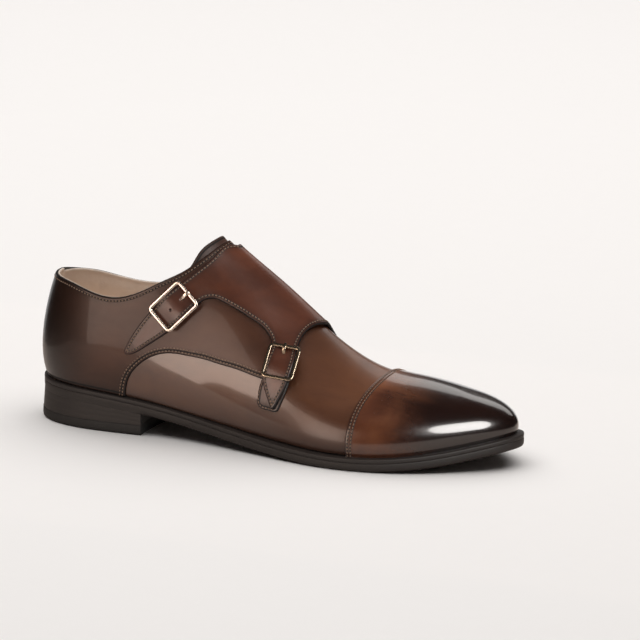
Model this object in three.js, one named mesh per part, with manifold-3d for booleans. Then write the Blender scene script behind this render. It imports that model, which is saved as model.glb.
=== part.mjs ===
// A right double monk strap shoe, in millimetres. +X points to the toe, +Y to the inner side of the foot,
// +Z up. The shoe stands on the floor z = 0, and the origin is under the middle of its outline.
//
// Everything follows one surface, the skin of the last: ribs rise from the feather line (the edge of the
// last's bottom) and meet along the ridge (the crest of instep and toe). Each leather piece is the slice
// between two offsets of that skin, cut to its pattern by prisms drawn in side or top view.

import * as THREE from 'three';
import { mergeVertices } from 'three/addons/utils/BufferGeometryUtils.js';
import Module from 'manifold-3d';

const wasm = await Module();
wasm.setup();

// Driving sizes.
const GAP = 0.3; // between pieces that meet
const WALL = 2.0; // vamp leather with its lining
const QUARTER = 1.2; // quarter leather
const CAP = 1.0; // toe cap leather
const STRAP = 1.6; // doubled strap leather
const TONGUE = 1.5;
const WELT = 2.4;
const OUTSOLE = 4.8;
const INSOLE = 2.5;
const TOP_LIFT = 6.0;
const BREAST_X = -74; // front corners of the heel
const BREAST_RADIUS = 140;
const BUCKLE = { across: 19.8, wire: 1.8, bar: 1.4, corner: 2.2 };

// The upper's lengths along x.
const UPPER_LENGTHS = [
  { name: 'upper_heel', from: -200, to: -45 },
  { name: 'upper_waist', from: -45, to: 25 },
  { name: 'upper_ball', from: 25, to: 75 },
  { name: 'upper_toe', from: 75, to: 200 },
];

const STATIONS = 34; // ribs on each side of the last
const ROWS = 12; // steps up each rib
const TALL = 260; // reach of the cutting prisms

// The feather line: heel back, outer side, toe, inner side. Columns: x, y.
const FEATHER = [
  [-150, 0], [-143, -17.5], [-125, -28.5], [-95, -31.5], [-55, -30], [-15, -34.5], [20, -41],
  [50, -45.5], [80, -43], [108, -32], [130, -17.5], [143, -6.5], [148, 4], [143, 14.5], [128, 27],
  [102, 39], [70, 45], [40, 43.5], [5, 33], [-40, 25], [-85, 28], [-120, 29], [-141, 19],
];
const TOE = 12; // row of the toe tip

// Sections along the last: height of the feather line, how far up a rib stays steep, how far it swells
// out on each side, how broad its crown is, and where on the ridge it ends.
const SECTION = smoothTable('x sole steep swellOuter swellInner crownOuter crownInner ridgeX', [
  [-150, 25.0, 0.26, 14.5, 14.5, 0.62, 0.62, -74],
  [-125, 24.2, 0.34, 10.5, 9.5, 0.62, 0.62, -70],
  [-90, 22.0, 0.46, 8.0, 7.0, 0.66, 0.66, -50],
  [-50, 17.0, 0.45, 6.0, 6.0, 0.66, 0.64, -20],
  [-10, 12.0, 0.45, 6.0, 5.0, 0.6, 0.5, 12],
  [30, 8.6, 0.48, 6.5, 4.0, 0.56, 0.34, 38],
  [62, 7.5, 0.54, 7.0, 5.0, 0.56, 0.28, 63],
  [90, 8.5, 0.57, 7.0, 6.0, 0.6, 0.4, 88],
  [120, 12.5, 0.6, 6.0, 6.0, 0.66, 0.58, 108],
  [148, 19.0, 0.6, 4.0, 4.0, 0.68, 0.68, 114],
]);

// The ridge: the crest line of toe and instep, and on up the last's cone.
const RIDGE = smoothTable('x y z', [
  [-78, 0, 146], [-52, 0, 129], [-30, 2, 110.5], [0, 4, 88.5],
  [30, 6, 65], [63, 5.5, 47.8], [90, 6, 43.8], [114, 6, 39.5],
]);

// How far the sole's edge stands out from the feather line.
const LEDGE = smoothTable('x width', [
  [-150, 1.5], [-90, 2], [-50, 2.5], [0, 4], [60, 5], [148, 5],
]);

// Height of the topline, the rim that the foot goes through.
const TOPLINE = smoothTable('x outer inner', [
  [-160, 86, 86], [-140, 86.5, 84], [-122, 85.5, 79], [-105, 81.5, 76.5], [-90, 80.5, 77.5],
  [-75, 85.5, 82], [-60, 93.5, 89.5], [-48, 100.5, 98], [-40, 108, 105.5], [-32, 115, 113],
  [-20, 125, 125],
]);

// Patterns in side view, as [x, z].
const OUTER_SEAM = [
  [-85, 18], [-83, 32], [-75.5, 41.5], [-63, 49], [-48, 51], [-32, 50], [-12, 47], [3, 44.5], [7.8, 45.5],
  [9.2, 50], [9.2, 58], [13, 68],
];
const INNER_SEAM = [
  [-85, 18], [-83, 32], [-75.5, 41.5], [-62, 48.5], [-42, 50.5], [-15, 50], [8, 47], [25.5, 42],
];
const FLAP_TOP = [[-26, 115], [-32, 112], [-36, 106], [-42, 100.5], [-47.5, 95.5], [-52, 91.5]];
const FLAP_CUTOUT = [
  [-39, 81], [-36, 84], [-31, 85], [-25, 83.5], [-12, 78], [0, 71.5], [5.5, 67], [8.5, 62], [9.5, 56],
];
const FLAP_FRONT = [[23.5, 56], [22.6, 62], [22.8, 68], [25, 72]];
const CAP_SEAM = [[65, 0], [65.8, 20], [66.4, 31], [67.4, 39], [69.2, 45.7], [71.5, 50.5], [74, 56]];

// Strap ends beyond the flap: centre line in side view, width, and height of the underside over the last.
// Each passes under its buckle's end, over the bar, and under the other end.
const UPPER_STRAP = [
  [-40.5, 91.5, 17.5, 1.8], [-44.6, 87.4, 16.4, 1.8], [-49.3, 82.3, 14.8, 4.2], [-53.3, 78.1, 14.2, 6.0],
  [-57.4, 74.0, 14.2, 4.2], [-62.4, 69.0, 14.0, 1.8], [-70.0, 61.4, 12.4, 1.8], [-76.5, 55.2, 9.0, 1.8],
  [-81.0, 51.0, 5.0, 1.8], [-83.2, 49.0, 2.0, 1.8],
];
const LOWER_STRAP = [
  [16.2, 62.5, 13.2, 1.8], [16.4, 59.2, 14.2, 1.8], [16.8, 55.2, 13.6, 4.4], [16.9, 51.6, 13.6, 6.4],
  [17.0, 48.0, 13.6, 4.2], [17.1, 44.0, 13.8, 1.9], [17.0, 38.0, 12.4, 1.7], [16.8, 33.4, 8.6, 1.7],
  [16.5, 30.2, 4.6, 1.7], [16.4, 28.8, 2.0, 1.7],
];

// Each buckle's centre in side view, the point up its strap that it is turned to, its height over the last,
// and the leather loop that holds its bar: how far it reaches along the strap, and its height.
const BUCKLES = [
  {
    name: 'upper', centre: [-53.3, 78.1], toward: [-40.5, 91.5], along: 25.4, lift: 5.35,
    loop: [2, -5.2], loopLift: 1.8,
  },
  {
    name: 'lower', centre: [16.8, 51.6], toward: [16.6, 62.5], along: 21.4, lift: 4.9,
    loop: [1.5, -24], loopLift: GAP,
  },
];

// The natural cubic spline through values at knots, as a function.
function naturalSpline(knots, values) {
  const count = knots.length;
  const bend = new Array(count).fill(0);
  const carry = new Array(count).fill(0);
  for (let i = 1; i < count - 1; i += 1) {
    const left = knots[i] - knots[i - 1];
    const right = knots[i + 1] - knots[i];
    const pivot = 2 * (left + right) - left * carry[i - 1];
    const change = (values[i + 1] - values[i]) / right - (values[i] - values[i - 1]) / left;
    carry[i] = right / pivot;
    bend[i] = (6 * change - left * bend[i - 1]) / pivot;
  }
  for (let i = count - 2; i > 0; i -= 1) bend[i] -= carry[i] * bend[i + 1];
  return (at) => {
    let i = 1;
    while (i < count - 1 && at > knots[i]) i += 1;
    const width = knots[i] - knots[i - 1];
    const a = (knots[i] - at) / width;
    const b = 1 - a;
    const curve = (a ** 3 - a) * bend[i - 1] + (b ** 3 - b) * bend[i];
    return a * values[i - 1] + b * values[i] + (curve * width ** 2) / 6;
  };
}

// A table's columns by name, each a smooth function of the first column.
function smoothTable(names, rows) {
  const knots = rows.map((row) => row[0]);
  const columns = {};
  names.split(' ').slice(1).forEach((name, i) => {
    columns[name] = naturalSpline(knots, rows.map((row) => row[i + 1]));
  });
  return columns;
}

// A closed outline as smooth x and y functions of the distance along it. Its rows are repeated past both ends.
function closedOutline(points, corner) {
  const wrap = 5;
  const ring = [...points.slice(-wrap), ...points, ...points.slice(0, wrap + 1)];
  const knots = [0];
  for (let i = 1; i < ring.length; i += 1) {
    knots.push(knots[i - 1] + Math.hypot(ring[i][0] - ring[i - 1][0], ring[i][1] - ring[i - 1][1]));
  }
  const start = knots[wrap];
  const shifted = knots.map((knot) => knot - start);
  return {
    x: naturalSpline(shifted, ring.map((point) => point[0])),
    y: naturalSpline(shifted, ring.map((point) => point[1])),
    length: shifted[wrap + points.length],
    corner: shifted[wrap + corner],
  };
}

const feather = closedOutline(FEATHER, TOE);

// A point of the feather line on one side (-1 outer, +1 inner), at a share of the way from heel to toe, with
// its outward normal.
function featherPoint(side, share) {
  const outerSide = share * feather.corner;
  const innerSide = feather.length - share * (feather.length - feather.corner);
  const at = side < 0 ? outerSide : innerSide;
  const step = 0.5;
  const dx = feather.x(at + step) - feather.x(at - step);
  const dy = feather.y(at + step) - feather.y(at - step);
  const length = Math.hypot(dx, dy);
  return { x: feather.x(at), y: feather.y(at), nx: dy / length, ny: -dx / length };
}

// A point of the last's skin: the cubic Bezier rib from the feather line to the ridge. Both ribs of a
// station end at the same ridge point.
function skin(side, share, up) {
  const foot = featherPoint(side, share);
  const middle = (featherPoint(-1, share).x + featherPoint(1, share).x) / 2;
  const top = new THREE.Vector3(SECTION.ridgeX(middle), 0, 0);
  top.y = RIDGE.y(top.x);
  top.z = RIDGE.z(top.x);
  const slope = RIDGE.z(top.x + 0.5) - RIDGE.z(top.x - 0.5);
  const base = new THREE.Vector3(foot.x, foot.y, SECTION.sole(foot.x));
  const outer = THREE.MathUtils.clamp(0.5 - foot.ny / 0.6, 0, 1);
  const swell = outer * SECTION.swellOuter(middle) + (1 - outer) * SECTION.swellInner(middle);
  const crown = outer * SECTION.crownOuter(middle) + (1 - outer) * SECTION.crownInner(middle);
  const reach = Math.abs((foot.x - top.x) * foot.nx + (foot.y - top.y) * foot.ny) * crown;
  const rise = SECTION.steep(middle) * (top.z - base.z);
  const lower = base.clone().add(new THREE.Vector3(foot.nx * swell, foot.ny * swell, rise));
  const upper = top.clone().add(new THREE.Vector3(foot.nx * reach, foot.ny * reach, slope * foot.nx * reach));
  return new THREE.CubicBezierCurve3(base, lower, upper, top).getPoint(up);
}

// The skin's outward normal; on the ridge it is square to the ridge, so that both sides agree.
function skinNormal(side, share, up) {
  if (up > 0.999) {
    const x = skin(side, share, 1).x;
    return new THREE.Vector3(RIDGE.z(x - 0.5) - RIDGE.z(x + 0.5), 0, 1).normalize();
  }
  const step = 0.004;
  const low = Math.max(up - step, 0);
  const along = skin(side, Math.min(share + step, 1), up).sub(skin(side, Math.max(share - step, 0), up));
  if (share < step || share > 1 - step) along.set(0, share < 0.5 ? side : -side, 0);
  const climb = skin(side, share, up + step).sub(skin(side, share, low));
  const normal = along.cross(climb).normalize();
  const foot = featherPoint(side, share);
  return normal.x * foot.nx + normal.y * foot.ny < 0 ? normal.negate() : normal;
}

// The skin moved out by an offset, which may be a function of the point. Round the heel everything moves in
// by the quarters' thickness, as the counter there is skived to keep the heel slim.
const slimming = (x) => (QUARTER + GAP) * THREE.MathUtils.smoothstep(-x, 40, 100);
function skinOffset(side, share, up, offset) {
  const point = skin(side, share, up);
  const distance = (typeof offset === 'function' ? offset(point) : offset) - slimming(point.x);
  return point.addScaledVector(skinNormal(side, share, up), distance);
}

// A closed solid from loose triangles.
function solidOf(geometry) {
  const plain = new THREE.BufferGeometry().setAttribute('position', geometry.getAttribute('position'));
  if (geometry.index) plain.setIndex(geometry.index);
  const merged = mergeVertices(plain, 1e-3);
  const kept = [];
  const index = merged.index.array;
  for (let i = 0; i < index.length; i += 3) {
    const [a, b, c] = [index[i], index[i + 1], index[i + 2]];
    if (a !== b && b !== c && c !== a) kept.push(a, b, c);
  }
  return new wasm.Manifold(new wasm.Mesh({
    numProp: 3,
    vertProperties: merged.attributes.position.array,
    triVerts: new Uint32Array(kept),
  }));
}

// A solid from rings of points. Quads join ring to ring, and close each end between the ring's first half
// and its second. The halves of a round ring meet in single points, and those of a band in edges.
function solidOfRings(rings, band = false) {
  const count = rings[0].length;
  const last = rings[rings.length - 1];
  const quads = [];
  for (let j = 0; j + 1 < rings.length; j += 1) {
    for (let i = 0; i < count; i += 1) {
      const next = (i + 1) % count;
      quads.push([rings[j][i], rings[j][next], rings[j + 1][next], rings[j + 1][i]]);
    }
  }
  const end = band ? count - 1 : count;
  for (let i = 0; 2 * i + 1 < end; i += 1) {
    const corners = (ring) => [ring[i], ring[i + 1], ring[end - i - 1], ring[(end - i) % count]];
    quads.push(corners(rings[0]).reverse(), corners(last));
  }
  const corners = quads.flatMap(([a, b, c, d]) => [a, b, c, a, c, d]);
  return solidOf(new THREE.BufferGeometry().setFromPoints(corners));
}

// The sides and shares of all stations, once round the last from the heel by the outer side. They lie closer
// where the outline turns, at heel and toe.
function stationShare(i) {
  return i / STATIONS - (0.6 * Math.sin((2 * Math.PI * i) / STATIONS)) / (2 * Math.PI);
}
const ROUND = Array.from({ length: 2 * STATIONS }, (_, i) => (
  i <= STATIONS ? [-1, stationShare(i)] : [1, stationShare(2 * STATIONS - i)]
));

// The whole last at an offset, closed underneath; skirt carries it down past its own bottom.
function lastForm(offset, skirt = 0) {
  const rings = [];
  if (skirt) {
    rings.push(ROUND.map(([side, share]) => {
      const point = skinOffset(side, share, 0, offset);
      point.z -= skirt;
      return point;
    }));
  }
  for (let j = 0; j <= ROWS; j += 1) {
    rings.push(ROUND.map(([side, share]) => skinOffset(side, share, j / ROWS, offset)));
  }
  return solidOfRings(rings);
}

// A plate that follows the sole's curve, between two heights, with an outset at top and bottom.
function solePlate(top, bottom, outsetTop, outsetBottom = outsetTop) {
  const ring = (height, outset) => ROUND.map(([side, share]) => {
    const foot = featherPoint(side, share);
    const out = outset(foot.x);
    const x = foot.x + foot.nx * out;
    return new THREE.Vector3(x, foot.y + foot.ny * out, height(foot.x));
  });
  return solidOfRings([ring(bottom, outsetBottom), ring(top, outsetTop)]);
}

// A prism drawn in side view, from one y to another.
function sidePrism(points, fromY, toY) {
  const shape = new THREE.Shape(points.map(([x, z]) => new THREE.Vector2(x, z)));
  const prism = new THREE.ExtrudeGeometry(shape, { depth: toY - fromY, bevelEnabled: false });
  prism.rotateX(Math.PI / 2).translate(0, toY, 0);
  return solidOf(prism);
}

// A prism drawn in top view, from one height to another.
function topPrism(points, fromZ, toZ) {
  const shape = new THREE.Shape(points.map(([x, y]) => new THREE.Vector2(x, y)));
  const prism = new THREE.ExtrudeGeometry(shape, { depth: toZ - fromZ, bevelEnabled: false });
  return solidOf(prism.translate(0, 0, fromZ));
}

// Points of a smooth curve through a pattern's points.
function smooth(points, steps) {
  const curve = new THREE.SplineCurve(points.map(([x, z]) => new THREE.Vector2(x, z)));
  return curve.getPoints(steps).map((point) => [point.x, point.y]);
}

function range(from, to, steps) {
  return Array.from({ length: steps + 1 }, (_, i) => from + ((to - from) * i) / steps);
}

// Everything below the feather line, and everything above the topline.
const underFeather = sidePrism(
  [...range(-175, 175, 50).map((x) => [x, SECTION.sole(x) + GAP / 2]), [175, -TALL], [-175, -TALL]],
  -TALL,
  TALL,
);
function aboveTopline(column, fromY, toY) {
  const rim = range(-160, -20, 28).map((x) => [x, TOPLINE[column](x)]);
  return sidePrism([[-TALL, 86], ...rim, [-15, TALL], [-TALL, TALL]], fromY, toY);
}
const opening = aboveTopline('outer', -TALL, 0).add(aboveTopline('inner', 0, TALL));

// The slit over the instep, hidden under the straps and closed from inside by the tongue.
const throat = topPrism([[-60, -8], [4, -8], [12, -3], [14, 4], [12, 11], [4, 15], [-60, 13]], 60, TALL);

// A slice of leather between two offsets of the skin.
function leather(inside, outside) {
  return lastForm(outside).subtract(lastForm(inside, 8)).subtract(underFeather);
}

// The vamp with its lining, in lengths from heel to toe, so that collision hulls can follow its curve.
function makeUpper() {
  const whole = leather(-WALL, 0).subtract(opening).subtract(throat);
  return UPPER_LENGTHS.map(({ name, from, to }) => {
    const [low, high] = [from + GAP / 2, to - GAP / 2];
    const length = sidePrism([[low, -20], [high, -20], [high, TALL], [low, TALL]], -TALL, TALL);
    return { name, solid: whole.intersect(length) };
  });
}

function makeQuarterOuter() {
  const pattern = sidePrism(
    [...smooth(OUTER_SEAM, 24), [15, TALL], [-TALL, TALL], [-TALL, -20], [-85, -20]],
    -TALL,
    -GAP / 2,
  );
  return leather(GAP, GAP + QUARTER).intersect(pattern).subtract(opening).subtract(throat);
}

// The straps rest on the outer quarter, and run on into the inner quarter, which rests on the vamp.
function strapRise(point) {
  const outer = 1 - THREE.MathUtils.smoothstep(point.y, 1, 16);
  return (QUARTER + GAP) * outer * THREE.MathUtils.smoothstep(point.x, -100, -60);
}

function makeStraps() {
  const slice = leather((point) => GAP + strapRise(point), (point) => GAP + STRAP + strapRise(point));
  const flap = sidePrism(
    [[-14, 140], ...smooth(FLAP_TOP, 8), ...smooth(FLAP_CUTOUT, 16), ...smooth(FLAP_FRONT, 5), [48, 110]],
    -TALL,
    1,
  );
  const quarter = sidePrism(
    [
      ...smooth(INNER_SEAM, 16), [26, 55], [25.5, 72], [48, 110], [48, TALL], [-TALL, TALL], [-TALL, -20],
      [-85, -20],
    ],
    GAP / 2,
    TALL,
  );
  const overThroat = sidePrism([[-14, 140], [-26, 115], [-60, 115], [-60, 140]], -2, TALL);
  const innerRim = aboveTopline('inner', -1, TALL).add(overThroat);
  const body = slice.intersect(quarter).subtract(innerRim).add(slice.intersect(flap));
  return body.add(ribbon(UPPER_STRAP, STRAP)).add(ribbon(LOWER_STRAP, STRAP));
}

function makeToeCap() {
  const pattern = sidePrism([...smooth(CAP_SEAM, 10), [170, TALL], [170, -20]], -TALL, TALL);
  return leather(GAP, GAP + CAP).intersect(pattern);
}

// The tongue lies inside the throat, and droops a little where it stands out above the topline.
function makeTongue() {
  const droop = (point) => 1.5 * THREE.MathUtils.smoothstep(-point.x, 28, 48);
  const top = (point) => -WALL - GAP - droop(point);
  const slice = lastForm(top).subtract(lastForm((point) => top(point) - TONGUE, 8));
  const pattern = topPrism(
    [
      [-48.5, -18], [-46, -14.5], [-42.6, -9.5], [-39.4, -4.5], [-38, 1], [-38.5, 6], [-41, 11.5], [-44.5, 17],
      [-47, 21], [-20, 22], [24, 19], [26, 6], [24, -9], [-20, -16],
    ],
    58,
    TALL,
  );
  return slice.intersect(pattern);
}

// The skin's point and normal on the outer side at a place given in side view, found by Newton's method.
function onOuterSide(x, z) {
  let share = 0.45 + x / 420;
  let up = 0.45;
  const step = 1e-3;
  for (let i = 0; i < 12; i += 1) {
    const here = skin(-1, share, up);
    const byShare = skin(-1, share + step, up).sub(here).divideScalar(step);
    const byUp = skin(-1, share, up + step).sub(here).divideScalar(step);
    const determinant = byShare.x * byUp.z - byUp.x * byShare.z;
    share += ((x - here.x) * byUp.z - (z - here.z) * byUp.x) / determinant;
    up += ((z - here.z) * byShare.x - (x - here.x) * byShare.z) / determinant;
  }
  return { point: skin(-1, share, up), normal: skinNormal(-1, share, up) };
}

// A strap end: a band along its centre line, with the table's width and height over the last.
function ribbon(rows, thickness) {
  const across = 3;
  const rings = rows.map(([x, z, width, lift], i) => {
    const before = rows[Math.max(i - 1, 0)];
    const after = rows[Math.min(i + 1, rows.length - 1)];
    const length = Math.hypot(after[0] - before[0], after[1] - before[1]);
    const sideways = [-(after[1] - before[1]) / length, (after[0] - before[0]) / length];
    const at = (share, height) => {
      const offset = (share - 0.5) * width;
      const { point, normal } = onOuterSide(x + sideways[0] * offset, z + sideways[1] * offset);
      return point.addScaledVector(normal, height);
    };
    const low = range(0, 1, across).map((share) => at(share, lift));
    const high = range(1, 0, across).map((share) => at(share, lift + thickness));
    return [...low, ...high];
  });
  return solidOfRings(rings, true);
}

function makeWelt() {
  const height = (drop) => (x) => SECTION.sole(x) - drop;
  const plate = solePlate(height(GAP / 2), height(GAP / 2 + WELT), (x) => LEDGE.width(x));
  return plate.subtract(solePlate(height(-5), height(10), () => -5));
}

function makeOutsole() {
  const bottom = (x) => SECTION.sole(x) - WELT - OUTSOLE - 1.5 * GAP;
  const floor = topPrism([[-TALL, -TALL], [TALL, -TALL], [TALL, TALL], [-TALL, TALL]], -50, 0);
  return solePlate((x) => SECTION.sole(x) - WELT - 1.5 * GAP, bottom, (x) => LEDGE.width(x)).subtract(floor);
}

function makeInsole() {
  const inset = (x) => -WALL - GAP - slimming(x);
  const board = solePlate((x) => SECTION.sole(x) + INSOLE, (x) => SECTION.sole(x) + GAP / 2, inset);
  const bottom = (x) => SECTION.sole(x) - WELT - GAP / 2;
  const filler = solePlate((x) => SECTION.sole(x) + 1, bottom, () => -5 - GAP);
  return board.add(filler);
}

// The heel's front face is hollowed to an arc.
const heelFront = (() => {
  const hollow = new THREE.CylinderGeometry(BREAST_RADIUS, BREAST_RADIUS, 120, 160);
  const sagitta = 4;
  hollow.rotateX(Math.PI / 2).translate(BREAST_X + BREAST_RADIUS - sagitta, 0, 0);
  return solidOf(hollow).add(sidePrism([[-60, -80], [TALL, -80], [TALL, 80], [-60, 80]], -TALL, TALL));
})();

function makeHeelStack() {
  const top = (x) => SECTION.sole(x) - WELT - OUTSOLE - 2.5 * GAP;
  return solePlate(top, () => TOP_LIFT + GAP, (x) => LEDGE.width(x), () => 2.4).subtract(heelFront);
}

function makeTopLift() {
  return solePlate(() => TOP_LIFT, () => 0, () => 2.5, () => 2.9).subtract(heelFront);
}

// The turn that stands a buckle's own axes (x across the strap, y up along it, z out) on the last.
function buckleFrame({ centre, toward, lift }) {
  const { point, normal } = onOuterSide(...centre);
  const along = onOuterSide(...toward).point.sub(point);
  along.addScaledVector(normal, -along.dot(normal)).normalize();
  const axes = new THREE.Matrix4().makeBasis(along.clone().cross(normal), along, normal);
  return {
    position: point.addScaledVector(normal, lift),
    quaternion: new THREE.Quaternion().setFromRotationMatrix(axes),
  };
}

function roundedRectangle(target, width, height, radius) {
  const [w, h] = [width / 2, height / 2];
  target.moveTo(-w + radius, -h);
  target.lineTo(w - radius, -h).absarc(w - radius, -h + radius, radius, -Math.PI / 2, 0);
  target.lineTo(w, h - radius).absarc(w - radius, h - radius, radius, 0, Math.PI / 2);
  target.lineTo(-w + radius, h).absarc(-w + radius, h - radius, radius, Math.PI / 2, Math.PI);
  target.lineTo(-w, -h + radius).absarc(-w + radius, -h + radius, radius, Math.PI, 1.5 * Math.PI);
  return target;
}

// The frame with its middle bar, in its own axes.
function buckleSolid({ along }) {
  const { across, wire, bar, corner } = BUCKLE;
  const outline = roundedRectangle(new THREE.Shape(), across, along, corner);
  outline.holes.push(roundedRectangle(new THREE.Path(), across - 2 * wire, along - 2 * wire, corner - 1.2));
  const bevel = 0.4;
  const depth = wire - 2 * bevel;
  const frame = new THREE.ExtrudeGeometry(outline, {
    depth, bevelThickness: bevel, bevelSize: bevel, bevelOffset: -bevel, bevelSegments: 1, curveSegments: 3,
  });
  frame.translate(0, 0, -depth / 2);
  const rod = new THREE.CylinderGeometry(bar / 2, bar / 2, across - wire, 10).rotateZ(Math.PI / 2);
  return solidOf(frame).add(solidOf(rod.translate(0, 0, -bar / 2)));
}

// The prong: from beside the bar, up through the strap's hole and over the frame's end.
function prongSolid({ along }, radius, lead = 0) {
  const end = along / 2 + 1.1;
  const path = new THREE.CatmullRomCurve3([
    new THREE.Vector3(0, 1.75 - lead, -lead), new THREE.Vector3(0, 3.2, 0.9), new THREE.Vector3(0, 4.6, 2.4),
    new THREE.Vector3(0, 6.4, 2.7), new THREE.Vector3(0, end - 2.6, 2.1), new THREE.Vector3(0, end, 1.85),
  ]);
  const section = new THREE.Shape().absarc(0, 0, radius, 0, 2 * Math.PI);
  return solidOf(new THREE.ExtrudeGeometry(section, { extrudePath: path, steps: 9, curveSegments: 4 }));
}

// The leather loop under a buckle's bar: a tab that follows the last.
function loopSolid({ centre, toward, loop, loopLift }) {
  const length = Math.hypot(toward[0] - centre[0], toward[1] - centre[1]);
  const along = [(toward[0] - centre[0]) / length, (toward[1] - centre[1]) / length];
  const rows = range(loop[0], loop[1], 6).map((at) => (
    [centre[0] + along[0] * at, centre[1] + along[1] * at, 13.5, loopLift]
  ));
  return ribbon(rows, 1.0);
}

// Materials: colour, roughness, metalness.
function material(color, roughness, metalness = 0) {
  return new THREE.MeshStandardMaterial({ color, roughness, metalness });
}
const LEATHER = material(0x5b3423, 0.3);
const CAP_LEATHER = material(0x3a1f17, 0.2);
const LINING = material(0xb79b80, 0.7);
const EDGE = material(0x2b211d, 0.45);
const RUBBER = material(0x1d1918, 0.7);
const METAL = material(0xc9b6a2, 0.2, 1);

const shoe = new THREE.Group();

// A solid as a named mesh.
function place(name, solid, finish, frame) {
  const { vertProperties, triVerts, numProp } = solid.simplify(0.09).getMesh();
  const positions = new Float32Array((vertProperties.length / numProp) * 3);
  for (let i = 0; i * numProp < vertProperties.length; i += 1) {
    positions.set(vertProperties.subarray(i * numProp, i * numProp + 3), i * 3);
  }
  const geometry = new THREE.BufferGeometry().setAttribute('position', new THREE.BufferAttribute(positions, 3));
  geometry.setIndex(new THREE.BufferAttribute(triVerts, 1)).computeVertexNormals();
  const mesh = new THREE.Mesh(geometry, finish);
  mesh.name = name;
  if (frame) {
    mesh.position.copy(frame.position);
    mesh.quaternion.copy(frame.quaternion);
  }
  shoe.add(mesh);
}

// A solid in a buckle's axes, moved to the shoe's.
function inShoe(solid, frame) {
  const matrix = new THREE.Matrix4().compose(frame.position, frame.quaternion, new THREE.Vector3(1, 1, 1));
  return solid.transform(matrix.elements);
}

let straps = makeStraps();
for (const buckle of BUCKLES) straps = straps.subtract(inShoe(prongSolid(buckle, 1.1, 1), buckleFrame(buckle)));

place('outsole', makeOutsole(), EDGE);
place('welt', makeWelt(), EDGE);
place('heel_stack', makeHeelStack(), EDGE);
place('top_lift', makeTopLift(), RUBBER);
place('insole', makeInsole(), LINING);
for (const { name, solid } of makeUpper()) place(name, solid, LEATHER);
place('tongue', makeTongue(), LEATHER);
place('quarter_outer', makeQuarterOuter(), LEATHER);
place('straps', straps, LEATHER);
place('toe_cap', makeToeCap(), CAP_LEATHER);
for (const buckle of BUCKLES) {
  const frame = buckleFrame(buckle);
  place(`buckle_loop_${buckle.name}`, loopSolid(buckle), LEATHER);
  place(`buckle_frame_${buckle.name}`, buckleSolid(buckle), METAL, frame);
  place(`buckle_prong_${buckle.name}`, prongSolid(buckle, 0.7), METAL, frame);
}

export default shoe;
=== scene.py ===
# %% [markdown]
# # A double monk strap shoe
# A leather shoe is built round a last, a solid form of a foot. Its pieces are cut flat, sewn together, pulled
# over the last and stitched to a sole. This lesson works the same way: one function gives the last's skin,
# and every leather piece is a pattern laid on that skin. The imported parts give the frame: where the sole,
# the upper and the buckles are.

import bpy
import numpy as np
from mathutils import Matrix, Vector
from mathutils.geometry import delaunay_2d_cdt


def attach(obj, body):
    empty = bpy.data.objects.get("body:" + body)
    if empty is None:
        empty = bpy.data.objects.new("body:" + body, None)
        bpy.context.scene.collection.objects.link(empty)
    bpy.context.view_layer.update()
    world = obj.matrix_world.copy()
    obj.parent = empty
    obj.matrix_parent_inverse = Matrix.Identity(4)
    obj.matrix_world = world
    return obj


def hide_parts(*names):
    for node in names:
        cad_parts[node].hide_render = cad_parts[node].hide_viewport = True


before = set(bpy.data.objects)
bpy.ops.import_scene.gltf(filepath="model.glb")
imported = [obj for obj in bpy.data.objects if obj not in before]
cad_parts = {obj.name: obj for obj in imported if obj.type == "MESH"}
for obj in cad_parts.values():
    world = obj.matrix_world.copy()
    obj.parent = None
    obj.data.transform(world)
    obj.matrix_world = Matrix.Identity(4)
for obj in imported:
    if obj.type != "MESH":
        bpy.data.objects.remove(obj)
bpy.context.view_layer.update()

# %% [markdown]
# ## The camera and the light
# A product picture is taken from far away with a long lens, so that the near end doesn't look swollen. The
# shoe stands on a pale floor that is wider than the view. Polished leather shows mostly what it
# reflects, so the lights are large soft panels, and the side that the camera is on stays darker.

# %% the camera
TURN, TILT, DISTANCE = np.radians(26.5), np.radians(13.8), 3.5
right = np.array([np.cos(TURN), np.sin(TURN), 0])
back = np.array([np.sin(TURN) * np.cos(TILT), -np.cos(TURN) * np.cos(TILT), np.sin(TILT)])
above = np.cross(back, right)
target = 0.0238 * right + 0.0682 * above
lens = bpy.data.cameras.new("camera")
lens.lens = 338.6
camera = bpy.data.objects.new("camera", lens)
camera.matrix_world = Matrix.Translation(target + DISTANCE * back) @ Matrix(
    np.stack([right, above, back], axis=1)
).to_4x4()
bpy.context.scene.collection.objects.link(camera)
bpy.context.scene.camera = camera
print("camera at", np.round(target + DISTANCE * back, 3))


# %% the lights
WARM_WHITE, WHITE, AMBER = (1, 0.97, 0.94), (1, 1, 1), (1, 0.8, 0.68)


def softbox(name, toward, distance, size, watts, mirrored=True, tint=WARM_WHITE, shape="RECTANGLE"):
    """A flat light that faces the shoe. toward is its direction from the shoe: to the camera's right,
    away from the camera, and up. A mirrored one shows in the polish, and the other only lights the shoe, so
    that the highlights can be placed without changing how bright the shoe is."""
    light = bpy.data.lights.new(name, "AREA")
    light.shape = shape
    light.size, light.size_y = size
    light.energy = watts
    light.color = tint
    lamp = bpy.data.objects.new(name, light)
    level = np.array([-np.sin(TURN), np.cos(TURN), 0])
    way = toward[0] * right + toward[1] * level + np.array([0, 0, toward[2]])
    way = way / np.linalg.norm(way)
    spot = way * distance + [0, 0, 0.05]
    lamp.matrix_world = Matrix.Translation(spot) @ Vector(way).to_track_quat("Z", "Y").to_matrix().to_4x4()
    lamp.visible_glossy, lamp.visible_diffuse = mirrored, not mirrored
    bpy.context.scene.collection.objects.link(lamp)
    return lamp


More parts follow.
